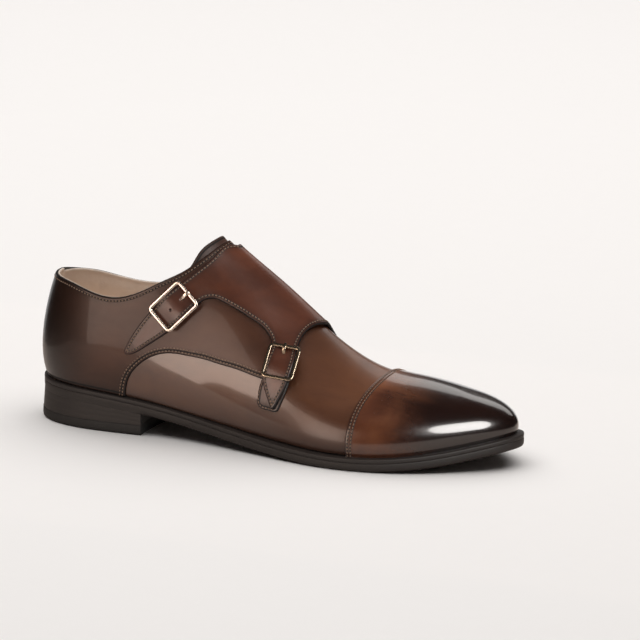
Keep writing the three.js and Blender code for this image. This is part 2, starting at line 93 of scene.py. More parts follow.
softbox("ceiling", (0, 0.25, 1), 2.3, (4.4, 4.4), 118, mirrored=False, tint=WHITE)
softbox("left_panel", (-0.78, -0.6, 0.15), 1.3, (0.56, 0.95), 8.2, tint=AMBER)
softbox("front_box", (0.36, -0.8, 0.48), 1.3, (0.62, 0.86), 18, shape="ELLIPSE")
softbox("rear_panel", (0.2, 0.8, 0.58), 1.6, (2.2, 0.5), 5.2)
softbox("backdrop", (0, 0.97, -0.1), 1.6, (2.2, 0.9), 5, tint=WHITE)
world = bpy.data.worlds.new("studio")
world.use_nodes = True
surround = world.node_tree.nodes["Background"].inputs
surround["Color"].default_value = (0.95, 0.93, 0.91, 1)
surround["Strength"].default_value = 0.03
bpy.context.scene.world = world
bpy.context.scene.view_settings.view_transform = "Standard"

# %% [markdown]
# ## Shader maths as expressions
# A finish is worked out from the place on the shoe and a few attributes. Writing `0.3 + 0.2 * grain` is
# easier to read than a list of nodes and links, so a small class wraps a socket, and each operator adds the
# node that does it.

# %% expressions on sockets


class Wire:
    """The output socket of a node, on which sums and products can be written."""

    def __init__(self, finish, socket):
        self.finish, self.socket = finish, socket

    def __add__(self, other):
        return self.finish.math("ADD", self, other)

    def __radd__(self, other):
        return self.finish.math("ADD", other, self)

    def __sub__(self, other):
        return self.finish.math("SUBTRACT", self, other)

    def __rsub__(self, other):
        return self.finish.math("SUBTRACT", other, self)

    def __mul__(self, other):
        return self.finish.math("MULTIPLY", self, other)

    def __rmul__(self, other):
        return self.finish.math("MULTIPLY", other, self)


class Finish:
    """A material: constants set on the shader's own sockets, and wires into it for what varies."""

    def __init__(self, name, **constants):
        self.material = bpy.data.materials.new(name)
        self.material.use_nodes = True
        self.tree = self.material.node_tree
        self.shader = self.tree.nodes["Principled BSDF"]
        for socket, value in constants.items():
            self.shader.inputs[socket.replace("_", " ")].default_value = value

    def node(self, kind, settings=None, inputs=None, output=0):
        """Adds a node: its settings first, then the values or wires of its sockets."""
        made = self.tree.nodes.new(kind)
        for setting, value in (settings or {}).items():
            setattr(made, setting, value)
        for socket, value in (inputs or {}).items():
            if isinstance(value, Wire):
                self.tree.links.new(value.socket, made.inputs[socket])
            else:
                made.inputs[socket].default_value = value
        return Wire(self, made.outputs[output])

    def math(self, operation, a, b=0.0):
        return self.node("ShaderNodeMath", {"operation": operation}, {0: a, 1: b})

    def place(self, stretch=(1, 1, 1)):
        """Object coordinates, in metres, stretched."""
        here = self.node("ShaderNodeTexCoord", output="Object")
        return self.node("ShaderNodeVectorMath", {"operation": "MULTIPLY"}, {0: here, 1: stretch})

    def axis(self, letter):
        return self.node("ShaderNodeSeparateXYZ", None, {0: self.place()}, letter)

    def noise(self, scale, detail=3, rough=0.5, stretch=(1, 1, 1), twist=0.0):
        inputs = {"Vector": self.place(stretch), "Scale": scale, "Detail": detail}
        inputs.update({"Roughness": rough, "Distortion": twist})
        return self.node("ShaderNodeTexNoise", None, inputs)

    def cells(self, scale):
        return self.node("ShaderNodeTexVoronoi", None, {"Vector": self.place(), "Scale": scale})

    def attribute(self, name):
        return self.node("ShaderNodeAttribute", {"attribute_name": name}, None, "Fac")

    def ease(self, value, low, high, start=0.0, end=1.0):
        """Goes smoothly from start to end as value goes from low to high."""
        inputs = {"Value": value, "From Min": low, "From Max": high, "To Min": start, "To Max": end}
        return self.node("ShaderNodeMapRange", {"interpolation_type": "SMOOTHSTEP"}, inputs)

    def blend(self, share, first, second):
        """A colour between two colours."""
        pick = [(*c, 1) if isinstance(c, tuple) else c for c in (first, second)]
        return self.node("ShaderNodeMix", {"data_type": "RGBA"}, {0: share, 6: pick[0], 7: pick[1]}, 2)

    def relief(self, height, depth, strength=1.0):
        """Tilts the normal as if the surface had that height, in metres."""
        bump = self.node("ShaderNodeBump", None, {"Height": height, "Distance": depth, "Strength": strength})
        self.tree.links.new(bump.socket, self.shader.inputs["Normal"])

    def drive(self, **wires):
        for socket, wire in wires.items():
            self.tree.links.new(wire.socket, self.shader.inputs[socket.replace("_", " ")])
        return self.material


# %% [markdown]
# ## The last
# The last is described by ribs. Each rib starts on the feather line, the sharp edge between the last's
# sides and bottom, goes up the side, and ends on the ridge, the crest of toe and instep. The feather line
# and all sizes along the last are smooth curves through short tables of measurements in millimetres.


# %% smooth curves through tables
def cubic(knots, values):
    """The natural cubic spline: between knots the curve is a cubic, with slope and bend running on smoothly
    from one stretch to the next, and no bend at the two ends."""
    k, v = np.asarray(knots, float), np.asarray(values, float)
    gap, n = np.diff(k), len(k)
    system, change = np.eye(n), np.zeros(n)
    inner = np.arange(1, n - 1)
    system[inner, inner - 1], system[inner, inner + 1] = gap[:-1], gap[1:]
    system[inner, inner] = 2 * (gap[:-1] + gap[1:])
    change[1:-1] = 6 * (np.diff(v)[1:] / gap[1:] - np.diff(v)[:-1] / gap[:-1])
    bend = np.linalg.solve(system, change)

    def curve(at):
        at = np.asarray(at, float)
        i = np.clip(np.searchsorted(k, at) - 1, 0, n - 2)
        a = (k[i + 1] - at) / gap[i]
        b = 1 - a
        return a * v[i] + b * v[i + 1] + ((a**3 - a) * bend[i] + (b**3 - b) * bend[i + 1]) * gap[i] ** 2 / 6

    return curve


def columns(names, rows):
    """A table's columns by name, each a smooth curve over the first column."""
    rows = np.array(rows, float)
    return {name: cubic(rows[:, 0], rows[:, i + 1]) for i, name in enumerate(names.split())}


FEATHER = np.array([
    [-150, 0], [-143, -17.5], [-125, -28.5], [-95, -31.5], [-55, -30], [-15, -34.5], [20, -41],
    [50, -45.5], [80, -43], [108, -32], [130, -17.5], [143, -6.5], [148, 4], [143, 14.5], [128, 27],
    [102, 39], [70, 45], [40, 43.5], [5, 33], [-40, 25], [-85, 28], [-120, 29], [-141, 19],
])
TOE_ROW, WRAP = 12, 5
SECTION = columns("sole steep outer inner crown_outer crown_inner ridge", [
    [-150, 25.0, 0.26, 14.5, 14.5, 0.62, 0.62, -74],
    [-125, 24.2, 0.34, 10.5, 9.5, 0.62, 0.62, -70],
    [-90, 22.0, 0.46, 8.0, 7.0, 0.66, 0.66, -50],
    [-50, 17.0, 0.45, 6.0, 6.0, 0.66, 0.64, -20],
    [-10, 12.0, 0.45, 6.0, 5.0, 0.6, 0.5, 12],
    [30, 8.6, 0.48, 6.5, 4.0, 0.56, 0.34, 38],
    [62, 7.5, 0.54, 7.0, 5.0, 0.56, 0.28, 63],
    [90, 8.5, 0.57, 7.0, 6.0, 0.6, 0.4, 88],
    [120, 12.5, 0.6, 6.0, 6.0, 0.66, 0.58, 108],
    [148, 19.0, 0.6, 4.0, 4.0, 0.68, 0.68, 114],
])
RIDGE = columns("y z", [
    [-78, 0, 146], [-52, 0, 129], [-30, 2, 110.5], [0, 4, 88.5],
    [30, 6, 65], [63, 5.5, 47.8], [90, 6, 43.8], [114, 6, 39.5],
])
LEDGE = columns("width", [[-150, 1.5], [-90, 2], [-50, 2.5], [0, 4], [60, 5], [148, 5]])["width"]
TOPLINE = columns("outer inner", [
    [-160, 86, 86], [-140, 86.5, 84], [-122, 85.5, 79], [-105, 81.5, 76.5], [-90, 80.5, 77.5],
    [-75, 85.5, 82], [-60, 93.5, 89.5], [-48, 100.5, 98], [-40, 108, 105.5], [-32, 115, 113],
    [-20, 125, 125],
])
GAP, QUARTER, STRAP, CAP, WELT, OUTSOLE, TOP_LIFT = 0.3, 1.2, 1.6, 1.0, 2.4, 4.8, 6.0

twice_joined = np.vstack([FEATHER[-WRAP:], FEATHER, FEATHER[: WRAP + 1]])
along = np.concatenate([[0], np.cumsum(np.hypot(*np.diff(twice_joined, axis=0).T))])
along -= along[WRAP]
FEATHER_X, FEATHER_Y = cubic(along, twice_joined[:, 0]), cubic(along, twice_joined[:, 1])
ROUND, CORNER = along[WRAP + len(FEATHER)], along[WRAP + TOE_ROW]
print("once round the feather line:", round(float(ROUND), 1), "mm")


# %% [markdown]
# A place on the skin has two coordinates. `share` runs from the heel, 0, to the toe, 1. `rise` runs from the
# feather line on the outer side, 0, over the ridge, 1, to the feather line on the inner side, 2. Heel and
# toe ribs belong to both sides, so a share just past an end is read back on the other side.


# %% the skin of the last
def feather(side, share):
    """The feather line's point and outward normal: the closed outline taken clockwise from the heel on the
    outer side (side -1), or the other way on the inner side (+1)."""
    at = np.where(side < 0, share * CORNER, ROUND - share * (ROUND - CORNER))
    dx = FEATHER_X(at + 0.5) - FEATHER_X(at - 0.5)
    dy = FEATHER_Y(at + 0.5) - FEATHER_Y(at - 0.5)
    length = np.hypot(dx, dy)
    return FEATHER_X(at), FEATHER_Y(at), dy / length, -dx / length


def skin(share, rise):
    """Each rib is a cubic Bezier. Its first handle leaves the feather line upwards and a little outwards, and
    its second reaches the ridge level, along the outline's normal."""
    share, rise = np.broadcast_arrays(np.asarray(share, float), np.asarray(rise, float))
    past = (share < 0) | (share > 1)
    rise = np.where(past, 2 - rise, rise)
    share = np.where(share < 0, -share, np.where(share > 1, 2 - share, share))
    side, up = np.where(rise <= 1, -1, 1), np.where(rise <= 1, rise, 2 - rise)
    x, y, nx, ny = feather(side, share)
    middle = (feather(-1, share)[0] + feather(1, share)[0]) / 2
    rx = SECTION["ridge"](middle)
    ry, rz = RIDGE["y"](rx), RIDGE["z"](rx)
    slope = RIDGE["z"](rx + 0.5) - RIDGE["z"](rx - 0.5)
    z = SECTION["sole"](x)
    outer = np.clip(0.5 - ny / 0.6, 0, 1)
    swell = outer * SECTION["outer"](middle) + (1 - outer) * SECTION["inner"](middle)
    crown = outer * SECTION["crown_outer"](middle) + (1 - outer) * SECTION["crown_inner"](middle)
    reach = np.abs((x - rx) * nx + (y - ry) * ny) * crown
    handles = [
        np.stack([x, y, z], -1),
        np.stack([x + nx * swell, y + ny * swell, z + SECTION["steep"](middle) * (rz - z)], -1),
        np.stack([rx + nx * reach, ry + ny * reach, rz + slope * nx * reach], -1),
        np.stack([rx, ry, rz], -1),
    ]
    u = up[..., None]
    weights = [(1 - u) ** 3, 3 * u * (1 - u) ** 2, 3 * u * u * (1 - u), u**3]
    return sum(weight * handle for weight, handle in zip(weights, handles))


def smoothstep(x, low, high):
    t = np.clip((x - low) / (high - low), 0, 1)
    return t * t * (3 - 2 * t)


def steps(share, rise):
    """How the skin moves per unit of share and of rise, by central differences."""
    e = 1e-3
    by_share = (skin(share + e, rise) - skin(share - e, rise)) / (2 * e)
    by_rise = (skin(share, rise + 10 * e) - skin(share, rise - 10 * e)) / (20 * e)
    return by_share, by_rise


def unit(v):
    return v / np.maximum(np.linalg.norm(v, axis=-1, keepdims=True), 1e-12)


def normal(share, rise):
    """The cross product of the two steps points out of the last."""
    return unit(np.cross(*steps(share, rise)))


def lifted(share, rise, height):
    """The skin moved out along its normal. Round the heel everything moves in by a quarter's thickness."""
    at = skin(share, rise)
    height = height - (QUARTER + GAP) * smoothstep(-at[..., 0], 40, 100)
    return at + normal(share, rise) * np.asarray(height)[..., None]


heel_rib = skin(0.0, np.linspace(0, 1, 5))
print("heel rib:", np.round(heel_rib[:, [0, 2]], 1).tolist())


# %% [markdown]
# ## From a side view to the skin
# Patterns are easiest to give as seen from the side, as (x, z). Newton's method finds the share and rise
# whose point has that x and z, for all points at once.


# %% placing side-view points
def from_side(points, side, height=1.5):
    """Share and rise of side-view points on the outer (-1) or inner (+1) side. Each round moves them by the
    remaining error through the inverse of the skin's two steps."""
    points = np.asarray(points, float)
    share = 0.45 + points[:, 0] / 420
    rise = np.where(side < 0, 0.45, 1.55) + 0 * share
    for _ in range(30):
        miss = points - lifted(share, rise, height)[:, [0, 2]]
        a, b = (step[:, [0, 2]] for step in steps(share, rise))
        det = a[:, 0] * b[:, 1] - b[:, 0] * a[:, 1]
        share = share + np.clip((miss[:, 0] * b[:, 1] - b[:, 0] * miss[:, 1]) / det, -0.08, 0.08)
        rise = rise + np.clip((a[:, 0] * miss[:, 1] - miss[:, 0] * a[:, 1]) / det, -0.15, 0.15)
        rise = np.clip(rise, 0, 0.97) if side < 0 else np.clip(rise, 1.03, 2)
        share = np.clip(share, 0.0, 1.0)
    return np.stack([share, rise], -1)


def halve(short, low, high):
    """The place between low and high up to which short holds, by halving the interval again and again."""
    for _ in range(40):
        middle = (low + high) / 2
        still = short(middle)
        low, high = np.where(still, middle, low), np.where(still, high, middle)
    return low


def ridge_share(x):
    """The share whose rib ends on the ridge at x."""
    none, whole = np.zeros_like(np.asarray(x, float)), np.ones_like(np.asarray(x, float))
    return halve(lambda share: skin(share, 1.0)[..., 0] < x, none, whole)


def feather_share(side, x):
    """The share whose rib starts at x."""
    none, whole = np.zeros_like(np.asarray(x, float)), np.ones_like(np.asarray(x, float))
    return halve(lambda share: feather(side, share)[0] < x, none, whole)


def through(points, count=60):
    """A smooth curve through points of any dimension: a natural spline over the chord length."""
    points = np.asarray(points, float)
    scaled = points * [340, 95] if points.shape[1] == 2 else points
    knots = np.concatenate([[0], np.cumsum(np.linalg.norm(np.diff(scaled, axis=0), axis=1))])
    at = np.linspace(0, knots[-1], count)
    return np.stack([cubic(knots, points[:, i])(at) for i in range(points.shape[1])], -1)


def even(path, spacing, height=0.0, closed=False):
    """The same path over share and rise with its points evenly spaced on the skin, in millimetres."""
    if closed:
        path = np.vstack([path, path[:1]])
    solid = lifted(path[:, 0], path[:, 1], height)
    length = np.concatenate([[0], np.cumsum(np.linalg.norm(np.diff(solid, axis=0), axis=1))])
    keep = np.concatenate([[True], np.diff(length) > 1e-9])
    path, length = path[keep], length[keep]
    count = max(int(length[-1] / spacing), 4)
    at = np.linspace(0, length[-1], count + 1)[: count if closed else count + 1]
    return np.stack([np.interp(at, length, path[:, i]) for i in range(2)], -1)


print("share of the rib that ends on the ridge at x 0:", np.round(ridge_share(0.0), 3))


# %% [markdown]
# ## Cutting leather
# A real piece is cut to its pattern, its edge is thinned and dyed, and it is laid on the pieces below. Here
# a pattern is a closed outline over share and rise. Loops inside the outline follow its edge closely, so
# that the edge can be rounded, and a loose grid fills the rest. A Delaunay triangulation joins them all, and
# the piece gets an outer face, an inner face, and a shared edge.


# %% meshes
def new_piece(name, points, faces, material, attributes=None):
    """A mesh object at the origin from points in millimetres."""
    mesh = bpy.data.meshes.new(name)
    mesh.from_pydata((np.asarray(points) / 1000).tolist(), [], [list(map(int, f)) for f in faces])
    for label, values in (attributes or {}).items():
        mesh.attributes.new(label, "FLOAT", "POINT").data.foreach_set("value", np.asarray(values, np.float32))
    mesh.shade_smooth()
    mesh.materials.append(material)
    piece = bpy.data.objects.new(name, mesh)
    bpy.context.scene.collection.objects.link(piece)
    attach(piece, "root")
    return piece


def merged_piece(name, points, quads, material, attributes=None):
    """A piece whose points that coincide are merged; faces that shrink to a line are left out."""
    nearest = np.round(points / 0.004).astype(int)
    _, first, back_to = np.unique(nearest, axis=0, return_index=True, return_inverse=True)
    clean = []
    for face in back_to.reshape(-1)[quads].tolist():
        face = [v for k, v in enumerate(face) if v != face[k - 1]]
        if len(set(face)) > 2:
            clean.append(face)
    values = {label: value[first] for label, value in (attributes or {}).items()}
    piece = new_piece(name, points[first], clean, material, values)
    print(name, len(first), "points")
    return piece


def from_edge(points, rim):
    """Distance of each point from a closed line: to its nearest corner's two segments."""
    result = np.empty(len(points))
    for start in range(0, len(points), 1500):
        some = points[start : start + 1500]
        near = np.argmin(((some[:, None] - rim[None]) ** 2).sum(-1), axis=1)
        best = np.full(len(some), np.inf)
        for step in (-1, 1):
            a, b = rim[near], rim[(near + step) % len(rim)]
            along_it = np.clip(((some - a) * (b - a)).sum(-1) / ((b - a) ** 2).sum(-1), 0, 1)
            best = np.minimum(best, np.linalg.norm(some - a - along_it[:, None] * (b - a), axis=1))
        result[start : start + 1500] = best
    return result


def inside(points, outline):
    """True where a line to the right of the point crosses the outline an odd number of times."""
    a, b = outline, np.roll(outline, -1, axis=0)
    result = np.empty(len(points), bool)
    for start in range(0, len(points), 2000):
        x, y = points[start : start + 2000, 0:1], points[start : start + 2000, 1:2]
        crosses = (a[:, 1] > y) != (b[:, 1] > y)
        with np.errstate(divide="ignore", invalid="ignore"):
            where = a[:, 0] + (y - a[:, 1]) * (b[:, 0] - a[:, 0]) / (b[:, 1] - a[:, 1])
        result[start : start + 2000] = (crosses & (x < where)).sum(1) % 2 == 1
    return result


FLAT = np.array([340.0, 95.0])  # share and rise as rough millimetres
LOOPS = (0.05, 0.2, 0.45, 0.8, 1.3, 1.9, 2.5)  # their distances from the edge, in millimetres
HOLE_RINGS = np.array([0.0, 0.5, 0.8, 0.95, 1.1, 1.4, 2.0])  # circles round a hole, in its radii


def inward(path, distance, closed=True):
    """A path moved to its left over the skin: across its own direction, turned into share and rise by the
    least-squares inverse of the skin's two steps."""
    by_share, by_rise = steps(path[:, 0], path[:, 1])
    ahead = np.roll(path, -1, axis=0) - np.roll(path, 1, axis=0)
    if not closed:
        ahead[0], ahead[-1] = path[1] - path[0], path[-1] - path[-2]
    direction = by_share * ahead[:, :1] + by_rise * ahead[:, 1:]
    left = unit(np.cross(normal(path[:, 0], path[:, 1]), direction)) * distance
    aa, bb, ab = (by_share**2).sum(-1), (by_rise**2).sum(-1), (by_share * by_rise).sum(-1)
    pa, pb = (by_share * left).sum(-1), (by_rise * left).sum(-1)
    det = aa * bb - ab**2
    return path + np.stack([(bb * pa - ab * pb) / det, (aa * pb - ab * pa) / det], -1)


def cut_leather(name, outline, low, thick, material, grid=2.6, raise_by=None, holes=()):
    """A piece of leather on the skin. Its outer face stands above the inner one by the thickness times a
    quarter circle over the last 0.8 mm to its edge. The attribute rim is the distance from the edge."""
    outline = even(outline, 0.9, low, closed=True)
    loops = [outline] + [inward(outline, d) for d in LOOPS]
    low_corner, high_corner = outline.min(0) * FLAT, outline.max(0) * FLAT
    count = ((high_corner - low_corner) / grid).astype(int) + 1
    gx, gy = np.meshgrid(*(np.linspace(a, b, n) for a, b, n in zip(low_corner, high_corner, count)))
    gx[1::2] += 0.5 * (gx[0, 1] - gx[0, 0])
    filling = np.stack([gx.ravel(), gy.ravel()], -1) / FLAT
    filling = filling[inside(filling, loops[-1])]
    rim = lifted(outline[:, 0], outline[:, 1], low)
    at = lifted(filling[:, 0], filling[:, 1], low)
    filling = filling[from_edge(at, rim) > 3.4]
    rings = []
    for centre, radius in holes:
        per_mm = [1 / np.linalg.norm(step) for step in steps(*centre)]
        for r in radius * HOLE_RINGS:
            turn = np.linspace(0, 2 * np.pi, 17)[:16] if r else np.zeros(1)
            rings.append(centre + r * np.stack([np.cos(turn), np.sin(turn)], -1) * per_mm)
        middle = lifted(*centre, low)
        at = lifted(filling[:, 0], filling[:, 1], low)
        filling = filling[np.linalg.norm(at - middle, axis=1) > 2.3 * radius]
    flat = np.vstack(loops + [filling] + rings) * FLAT
    n = len(outline)
    edges = [(i, (i + 1) % n) for i in range(n)]
    verts, _, faces, _, _, _ = delaunay_2d_cdt([Vector(p) for p in flat], edges, [list(range(n))], 1, 1e-5)
    spots = np.array([tuple(v) for v in verts]) / FLAT
    faces = np.array([f for f in faces if len(f) == 3])
    bottom = lifted(spots[:, 0], spots[:, 1], low)
    edge = from_edge(bottom, rim)
    edge[edge < 1e-3] = 0
    rounded = np.sqrt(np.clip(1 - (1 - np.clip(edge / 0.8, 0, 1)) ** 2, 0, 1))
    extra = raise_by(spots) if raise_by else 0.0
    height = low + thick * rounded + extra
    for centre, radius in holes:
        from_middle = np.linalg.norm(bottom - lifted(*centre, low), axis=1)
        height = height - 1.2 * smoothstep(-from_middle, -1.05 * radius, -0.8 * radius)
    top = lifted(spots[:, 0], spots[:, 1], height)
    bottom = lifted(spots[:, 0], spots[:, 1], low + extra)
    top[edge == 0] = bottom[edge == 0]
    inner = np.where(edge == 0, np.arange(len(spots)), np.arange(len(spots)) + len(spots))
    both = np.vstack([faces, inner[faces[:, ::-1]]])
    used, both = np.unique(both, return_inverse=True)
    points = np.vstack([top, bottom])[used]
    piece = new_piece(name, points, both.reshape(-1, 3), material, {"rim": np.tile(edge, 2)[used]})
    print(name, len(points), "points", len(both) // 3, "faces")
    return piece


# %% [markdown]
# ## Stitches
# A lockstitch shows as a row of short rounded dashes that dip into the leather at both ends. One small
# stitch is repeated along each seam. It has only a few dozen faces, because a shoe has over a thousand.


# %% sewing
PITCH, THREAD_RADIUS = 2.1, 0.36


def stitch():
    """One stitch's points (forward, across, out) and faces: a ring of six points carried along a shallow
    arch, scaled by a rounded end's profile towards its ends."""
    t = np.linspace(-1, 1, 7)
    turn = np.linspace(0, 2 * np.pi, 7)[:6]
    size = np.sqrt(np.clip(1 - t**4, 0, 1))
    arch = 0.12 - 0.42 * t**4
    shape = np.stack([
        np.repeat(t * 0.39 * PITCH, 6),
        (size[:, None] * np.cos(turn) * THREAD_RADIUS).ravel(),
        (arch[:, None] + size[:, None] * np.sin(turn) * THREAD_RADIUS * 0.8).ravel(),
    ], -1)
    k, i = np.meshgrid(np.arange(6), np.arange(6), indexing="ij")
    corners = [k * 6 + i, (k + 1) * 6 + i, (k + 1) * 6 + (i + 1) % 6, k * 6 + (i + 1) % 6]
    return shape, np.stack(corners, -1).reshape(-1, 4)


def sew(name, seams, material):
    """Copies of the stitch along seams. Each seam gives, for each of its stitches, a centre, the place on the
    skin (share, rise) it stands on, and its direction."""
    shape, quads = stitch()
    points, faces, made = [], [], 0
    for centre, spot, forward in seams:
        across = unit(np.cross(normal(spot[:, 0], spot[:, 1]), forward))
        frames = np.stack([forward, across, np.cross(forward, across)], 1)
        starts = made + np.arange(len(centre)) * len(shape)
        points.append((centre[:, None] + shape @ frames).reshape(-1, 3))
        faces.append((quads[None] + starts[:, None, None]).reshape(-1, 4))
        made += len(centre) * len(shape)
    piece = new_piece(name, np.vstack(points), np.vstack(faces), material)
    print(name, made // len(shape), "stitches")
    return piece


def level_seam(path, height):
    """Stitches between points evenly spaced along a path, all at one height."""
    path = even(path, PITCH, height)
    spot = (path[1:] + path[:-1]) / 2
    ends = lifted(path[:, 0], path[:, 1], height)
    return lifted(spot[:, 0], spot[:, 1], height), spot, unit(ends[1:] - ends[:-1])


def rolling_seam(path, height):
    """Stitches along a path whose height differs from point to point."""
    solid = lifted(path[:, 0], path[:, 1], height)
    length = np.concatenate([[0], np.cumsum(np.linalg.norm(np.diff(solid, axis=0), axis=1))])
    at = np.arange(0, length[-1], PITCH)
    share, rise, level = (np.interp(at, length, values) for values in (path[:, 0], path[:, 1], height))
    ends, spot = lifted(share, rise, level), np.stack([share, rise], -1)
    return (ends[1:] + ends[:-1]) / 2, (spot[1:] + spot[:-1]) / 2, unit(ends[1:] - ends[:-1])


# %% [markdown]
# ## Leather finishes
# The calf is dyed by hand: a tan ground, darker and redder washes rubbed in, and nearly black polish at
# toe, heel and along the edges. Wax gives a clear gloss over a fine, almost flat grain.


# %% calf leather
# Nearly black: the dye on each cut edge, and also the painted shade in the grooves under the stitches.
EDGE_DYE_AND_GROOVE_SHADE = (0.008, 0.005, 0.004)


def calf(name, browns, zones, gloss=0.22, shine=0.5, wax=(0.12, 0.45), lines=(), waist_wax=0):
    """Two browns mixed by broad soft clouds, darkened towards each piece's edge and in the burnished zones,
    with painted shade in the grooves under the stitches; pores and fine creases as relief. The cut edge itself
    is dyed nearly black.
    The wax coat goes from wax[0] on open leather to wax[1] where the leather is burnished. waist_wax is added
    to it behind the joint. lines are the stitch rows' distances from the edge, in millimetres."""
    ground, wash, dark = browns
    finish = Finish(name, Specular_IOR_Level=shine, Coat_Roughness=0.07)
    clouds = finish.noise(24, 4, 0.55, (1, 1, 1.5), 0.7)
    streaks = finish.noise(70, 4, 0.6, (0.3, 1, 0.8), 0.3)
    mottle = finish.noise(9, 2, 0.5)
    wash_share = finish.ease(clouds * 0.55 + streaks * 0.25 + mottle * 0.2, 0.4, 0.6)
    color = finish.blend(wash_share, ground, wash)
    rim = finish.attribute("rim")
    edge = finish.ease(rim, 0.5, 6.0, 0.6, 0.0) * (0.6 + 0.5 * streaks)
    color = finish.blend(edge, color, dark)
    burnish = zones(finish, clouds, streaks)
    color = finish.blend(burnish, color, dark)
    cut = finish.ease(rim, 0.3, 0.9, 0.9, 0.0)
    # painted shade: each stitch row's groove is darkened towards the nearly black colour
    for line in lines:
        groove = finish.ease(finish.math("ABSOLUTE", rim - line), 0.3, 0.75, 0.9, 0.0)
        cut = finish.math("MAXIMUM", cut, groove)
    color = finish.blend(cut, color, EDGE_DYE_AND_GROOVE_SHADE)
    pores = finish.noise(2600, 2, 0.6)
    creases = finish.noise(420, 3, 0.55, (1, 1, 1), 0.4)
    finish.relief(pores * 0.3 + creases * 0.45 + finish.cells(1500) * 0.25, 0.00005, 0.4)
    rough = gloss + 0.12 * creases + 0.08 * streaks + 0.35 * cut
    coat = (wax[0] + (wax[1] - wax[0]) * burnish) * (1 - cut)
    if waist_wax:
        coat = coat + finish.ease(finish.axis("X"), 0.004, 0.036, waist_wax, 0.0) * (1 - burnish) * (1 - cut)
    return finish.drive(Base_Color=color, Roughness=rough, Coat_Weight=coat)


def toe_zone(finish, clouds, streaks):
    """Burnish that grows over the front of the toe, higher on the crest than on the sides."""
    reach = finish.axis("X") + 0.55 * finish.axis("Z") + 0.022 * (clouds - 0.5) + 0.02 * (streaks - 0.5)
    front = finish.ease(reach, 0.088, 0.128)
    low = finish.ease(finish.axis("Z"), 0.010, 0.020, 0.25, 0.0)
    return finish.math("MAXIMUM", front * 0.97, low)


def heel_zone(finish, clouds, streaks):
    """Burnish over the back of the heel and low along the sole."""
    rear = finish.ease(finish.axis("X") + 0.018 * (clouds - 0.5), -0.14, -0.086, 0.95, 0.0)
    low = finish.ease(finish.axis("Z") + 0.01 * (streaks - 0.5), 0.022, 0.05, 0.6, 0.0)
    return finish.math("MAXIMUM", rear, low)


def vamp_zone(finish, clouds, streaks):
    """A darker band low along the welt."""
    return finish.ease(finish.axis("Z") + 0.012 * (clouds - 0.5), 0.008, 0.036, 0.6, 0.0)


FLAP_CALF = calf(
    "flap_calf", ((0.16, 0.044, 0.019), (0.1, 0.027, 0.012), (0.02, 0.008, 0.005)), heel_zone, lines=(1.9,)
)
VAMP_CALF = calf(
    "vamp_calf", ((0.155, 0.054, 0.021), (0.105, 0.035, 0.014), (0.055, 0.021, 0.011)), vamp_zone,
    wax=(0.12, 0.1), waist_wax=0.75,
)
QUARTER_CALF = calf(
    "quarter_calf", ((0.115, 0.042, 0.021), (0.08, 0.028, 0.014), (0.011, 0.004, 0.002)), heel_zone,
    gloss=0.26, shine=0.3, wax=(0.12, 0.22), lines=(2.2,),
)
TONGUE_CALF = calf(
    "tongue_calf", ((0.1, 0.035, 0.018), (0.06, 0.02, 0.011), (0.03, 0.011, 0.007)), vamp_zone,
    gloss=0.42, shine=0.4, wax=(0.0, 0.0), lines=(2.0,),
)
CAP_CALF = calf(
    "cap_calf", ((0.23, 0.075, 0.03), (0.13, 0.038, 0.016), (0.012, 0.004, 0.003)), toe_zone,
    gloss=0.14, wax=(0.5, 0.9), lines=(1.7, 3.6),
)


# %% other finishes
def thread_finish():
    finish = Finish("waxed_thread", Specular_IOR_Level=0.4)
    shade = finish.noise(900, 2)
    finish.relief(finish.noise(6000, 1), 0.00005, 0.6)
    color = finish.blend(shade, (0.38, 0.23, 0.145), (0.2, 0.11, 0.07))
    return finish.drive(Base_Color=color, Roughness=0.5 + 0.2 * shade)


def lining_finish():
    finish = Finish("lining_calf", Specular_IOR_Level=0.35)
    clouds = finish.noise(40, 4, 0.6)
    worn = finish.noise(240, 3)
    finish.relief(finish.noise(1800, 2) * 0.6 + finish.cells(1100) * 0.4, 0.00008, 0.6)
    color = finish.blend(finish.ease(clouds, 0.35, 0.65), (0.93, 0.79, 0.67), (0.84, 0.69, 0.57))
    color = finish.blend(worn * 0.3, color, (0.68, 0.53, 0.42))
    return finish.drive(Base_Color=color, Roughness=0.55 + 0.15 * worn)


def edge_finish():
    """Sole leather's edge: dyed dark, waxed and rubbed, with fine fibres along it."""
    finish = Finish("sole_edge", Specular_IOR_Level=0.45)
    fibres = finish.noise(500, 3, 0.6, (0.12, 0.12, 2.5))
    clouds = finish.noise(50, 3)
    share = finish.ease(clouds * 0.6 + fibres * 0.4, 0.35, 0.65)
    color = finish.blend(share, (0.023, 0.0155, 0.0125), (0.018, 0.012, 0.01))
    finish.relief(fibres * 0.3 + finish.noise(1400, 2) * 0.7, 0.00004, 0.25)
    return finish.drive(Base_Color=color, Roughness=0.55 + 0.08 * fibres)


def rubber_finish():
    finish = Finish("rubber", Specular_IOR_Level=0.4)
    grain = finish.noise(1500, 3, 0.6)
    finish.relief(grain, 0.0001, 0.5)
    color = finish.blend(grain, (0.02, 0.0165, 0.015), (0.013, 0.011, 0.01))
    return finish.drive(Base_Color=color, Roughness=0.6 + 0.2 * grain)


def metal_finish(name, pale, dull):
    finish = Finish(name, Metallic=1.0)
    tarnish = finish.noise(350, 4, 0.6)
    scratches = finish.noise(900, 3, 0.6, (0.2, 1, 1))
    finish.relief(scratches, 0.000005, 0.1)
    color = finish.blend(finish.ease(tarnish, 0.4, 0.7), pale, dull)
    return finish.drive(Base_Color=color, Roughness=0.2 + 0.12 * tarnish)


